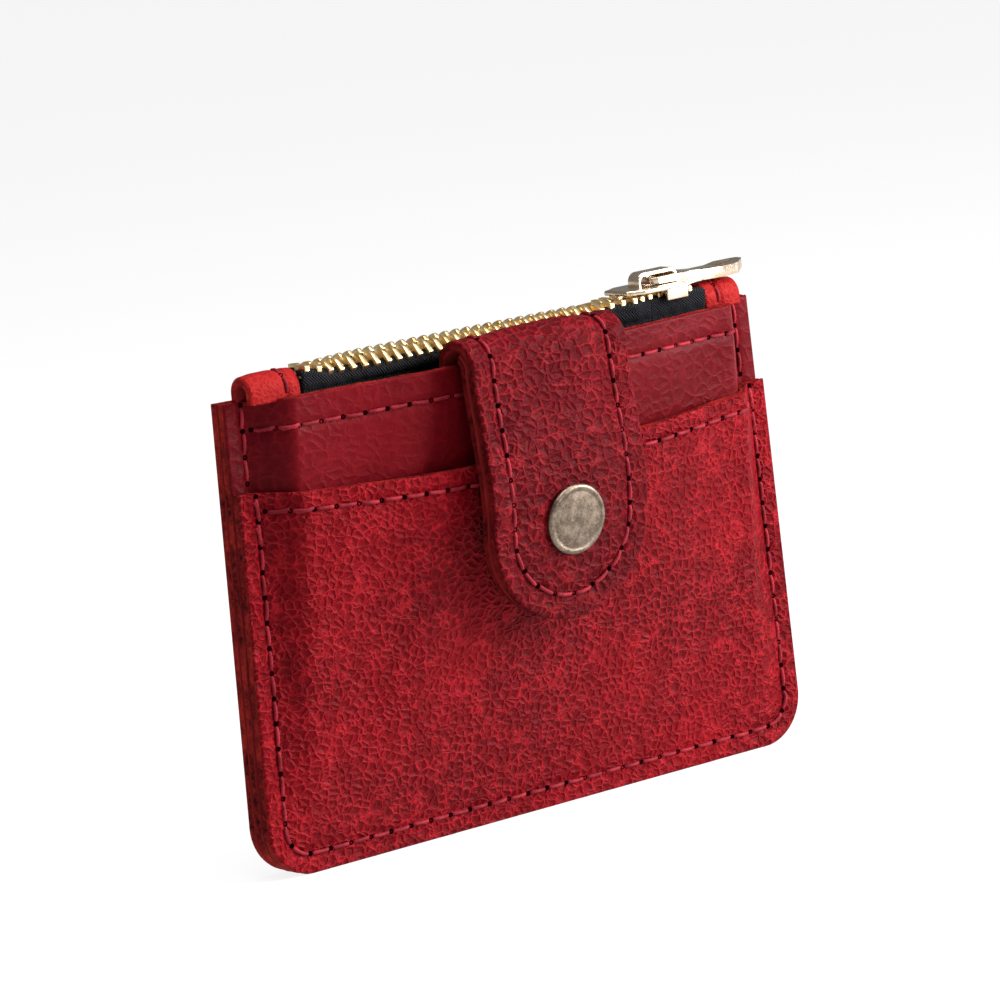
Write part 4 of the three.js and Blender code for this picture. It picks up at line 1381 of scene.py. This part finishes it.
root_gap = 1.2
root_turn = 78
across = closer_at_ends(-strap_half, strap_half, 0.5, 1.5)
height = np.linspace(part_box("strap_root")[0].z / MM, arch_z, 14)[:, None]
x = np.repeat(across[None, :], 14, 0)
step_back = arch_y + arch_radius - strap_leather - (on_centre(front_middle, arch_z) + root_gap)
against_panel = front_middle(np.zeros(14), height[:, 0])[:, None] + root_gap
lie = against_panel + step_back * smooth((height - root_turn) / 3.5)
inner_side = np.stack([x, np.broadcast_to(lie, x.shape), np.broadcast_to(height, x.shape)], -1)
outer_side = inner_side + (0, strap_leather, 0)
root = leather_piece(
    "strap_root_leather",
    outer_side[::-1],
    inner_side[::-1],
    [smooth_red, strap_edge, suede],
    33,
)
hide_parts("strap_root")
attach(root, "pouch")


def strap_seam():
    """The strap's stitch line: up one side from the fold, round the tip and back."""
    line, out, level = strap_profile(0.0, math.radians(55))
    reach = strap_half - strap_row
    hang = level > tip_centre
    left = np.concatenate([np.full((hang.sum(), 1), -reach), line[hang]], 1)
    left_out = np.concatenate([np.zeros((hang.sum(), 1)), out[hang]], 1)
    turn = np.linspace(math.pi, math.tau, 60)
    tip_z = tip_centre + reach * np.sin(turn)
    normal = unit(np.array([[0, -1, slope]]))
    tip_y = strap_line(tip_z) - double / 2 / math.cos(snap_tilt)
    tip = np.stack([reach * np.cos(turn), tip_y, tip_z], 1)
    tip_out = np.repeat(normal, 60, 0)
    path = np.concatenate([left, tip, left[::-1] * (-1, 1, 1)])
    away = np.concatenate([left_out, tip_out, left_out[::-1]])
    return path - away * 0.18, away


path, away = strap_seam()
sew("strap_stitches", path, away, "strap", "strap_thread", blend=fold_blend)

# ---- Snap fastener ----
# The cap is a spun brass shell with a rolled rim, antiqued brown. Its socket on the lining,
# and the stud and its post on the pocket, are the CAD's own shapes in the same brass.


def antique_paint(where):
    """Antiqued brass: pale where it is rubbed, brown between, with small specks."""
    cloud = where.noise(520, 6, 0.65)
    speck = where.noise(2600, 4)
    rubbed = 0.65 * cloud.band(0.35, 0.68) + 0.35 * speck.band(0.4, 0.7)
    colour = rubbed.blend(rgb(88, 76, 65), rgb(146, 130, 115))
    bump = (cloud + speck).bump(0.00003)
    return {"Base Color": colour, "Metallic": 1.0, "Roughness": 0.34 + 0.14 * speck, "Normal": bump}


antique = finish_of("antique_brass", antique_paint)
axis = np.array([0, -math.cos(snap_tilt), math.sin(snap_tilt)])
snap_up = np.array([0, math.sin(snap_tilt), math.cos(snap_tilt)])
snap_centre = np.array([0, snap_face, snap_z])


def turned_piece(name, profile, node, body):
    """A profile of (radius, height) turned round the snap's axis."""
    sides = 72
    angle = np.arange(sides) * math.tau / sides
    radius, height = profile[:, 0], profile[:, 1]
    cosine, sine = np.cos(angle)[None, :, None], np.sin(angle)[None, :, None]
    ring = cosine * np.array([1, 0, 0]) + sine * snap_up
    points = snap_centre + radius[:, None, None] * ring + height[:, None, None] * axis
    faces = grid_faces(len(profile), sides, closed=True)[:, ::-1]
    piece = piece_from(name, points, faces, [antique])
    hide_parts(node)
    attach(piece, body)


base = snap_stack + double + 0.25
snap_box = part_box("snap_cap")
cap_radius = (snap_box[1].x - snap_box[0].x) / 2 / MM
roll_radius = 0.55
curl = np.linspace(0, 1, 9) * math.pi
rim_out = cap_radius - roll_radius + roll_radius * np.sin(curl)
rim_up = base + 0.5 - roll_radius * np.cos(curl)
top = base + 1.05
lip = [(0.85, 0.02), (1.05, 0.12), (1.35, 0.1)]
shares = (0.7, 0.55, 0.4, 0.25, 0.1, 0.003)
cap_profile = np.concatenate(
    [
        [(0.01, base - 0.2), (cap_radius - 0.9, base - 0.1)],
        np.stack([rim_out, rim_up], 1),
        [(cap_radius - inwards, top - down) for inwards, down in lip],
        [(cap_radius * share, top - 0.1 + 0.2 * (1 - share**2)) for share in shares],
    ]
)
turned_piece("snap_cap_shell", cap_profile, "snap_cap", "strap")
for node in ("snap_socket", "snap_stud", "snap_post"):
    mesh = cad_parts[node].data
    mesh.materials.clear()
    mesh.materials.append(antique)

# ---- The model's size ----

low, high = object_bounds()
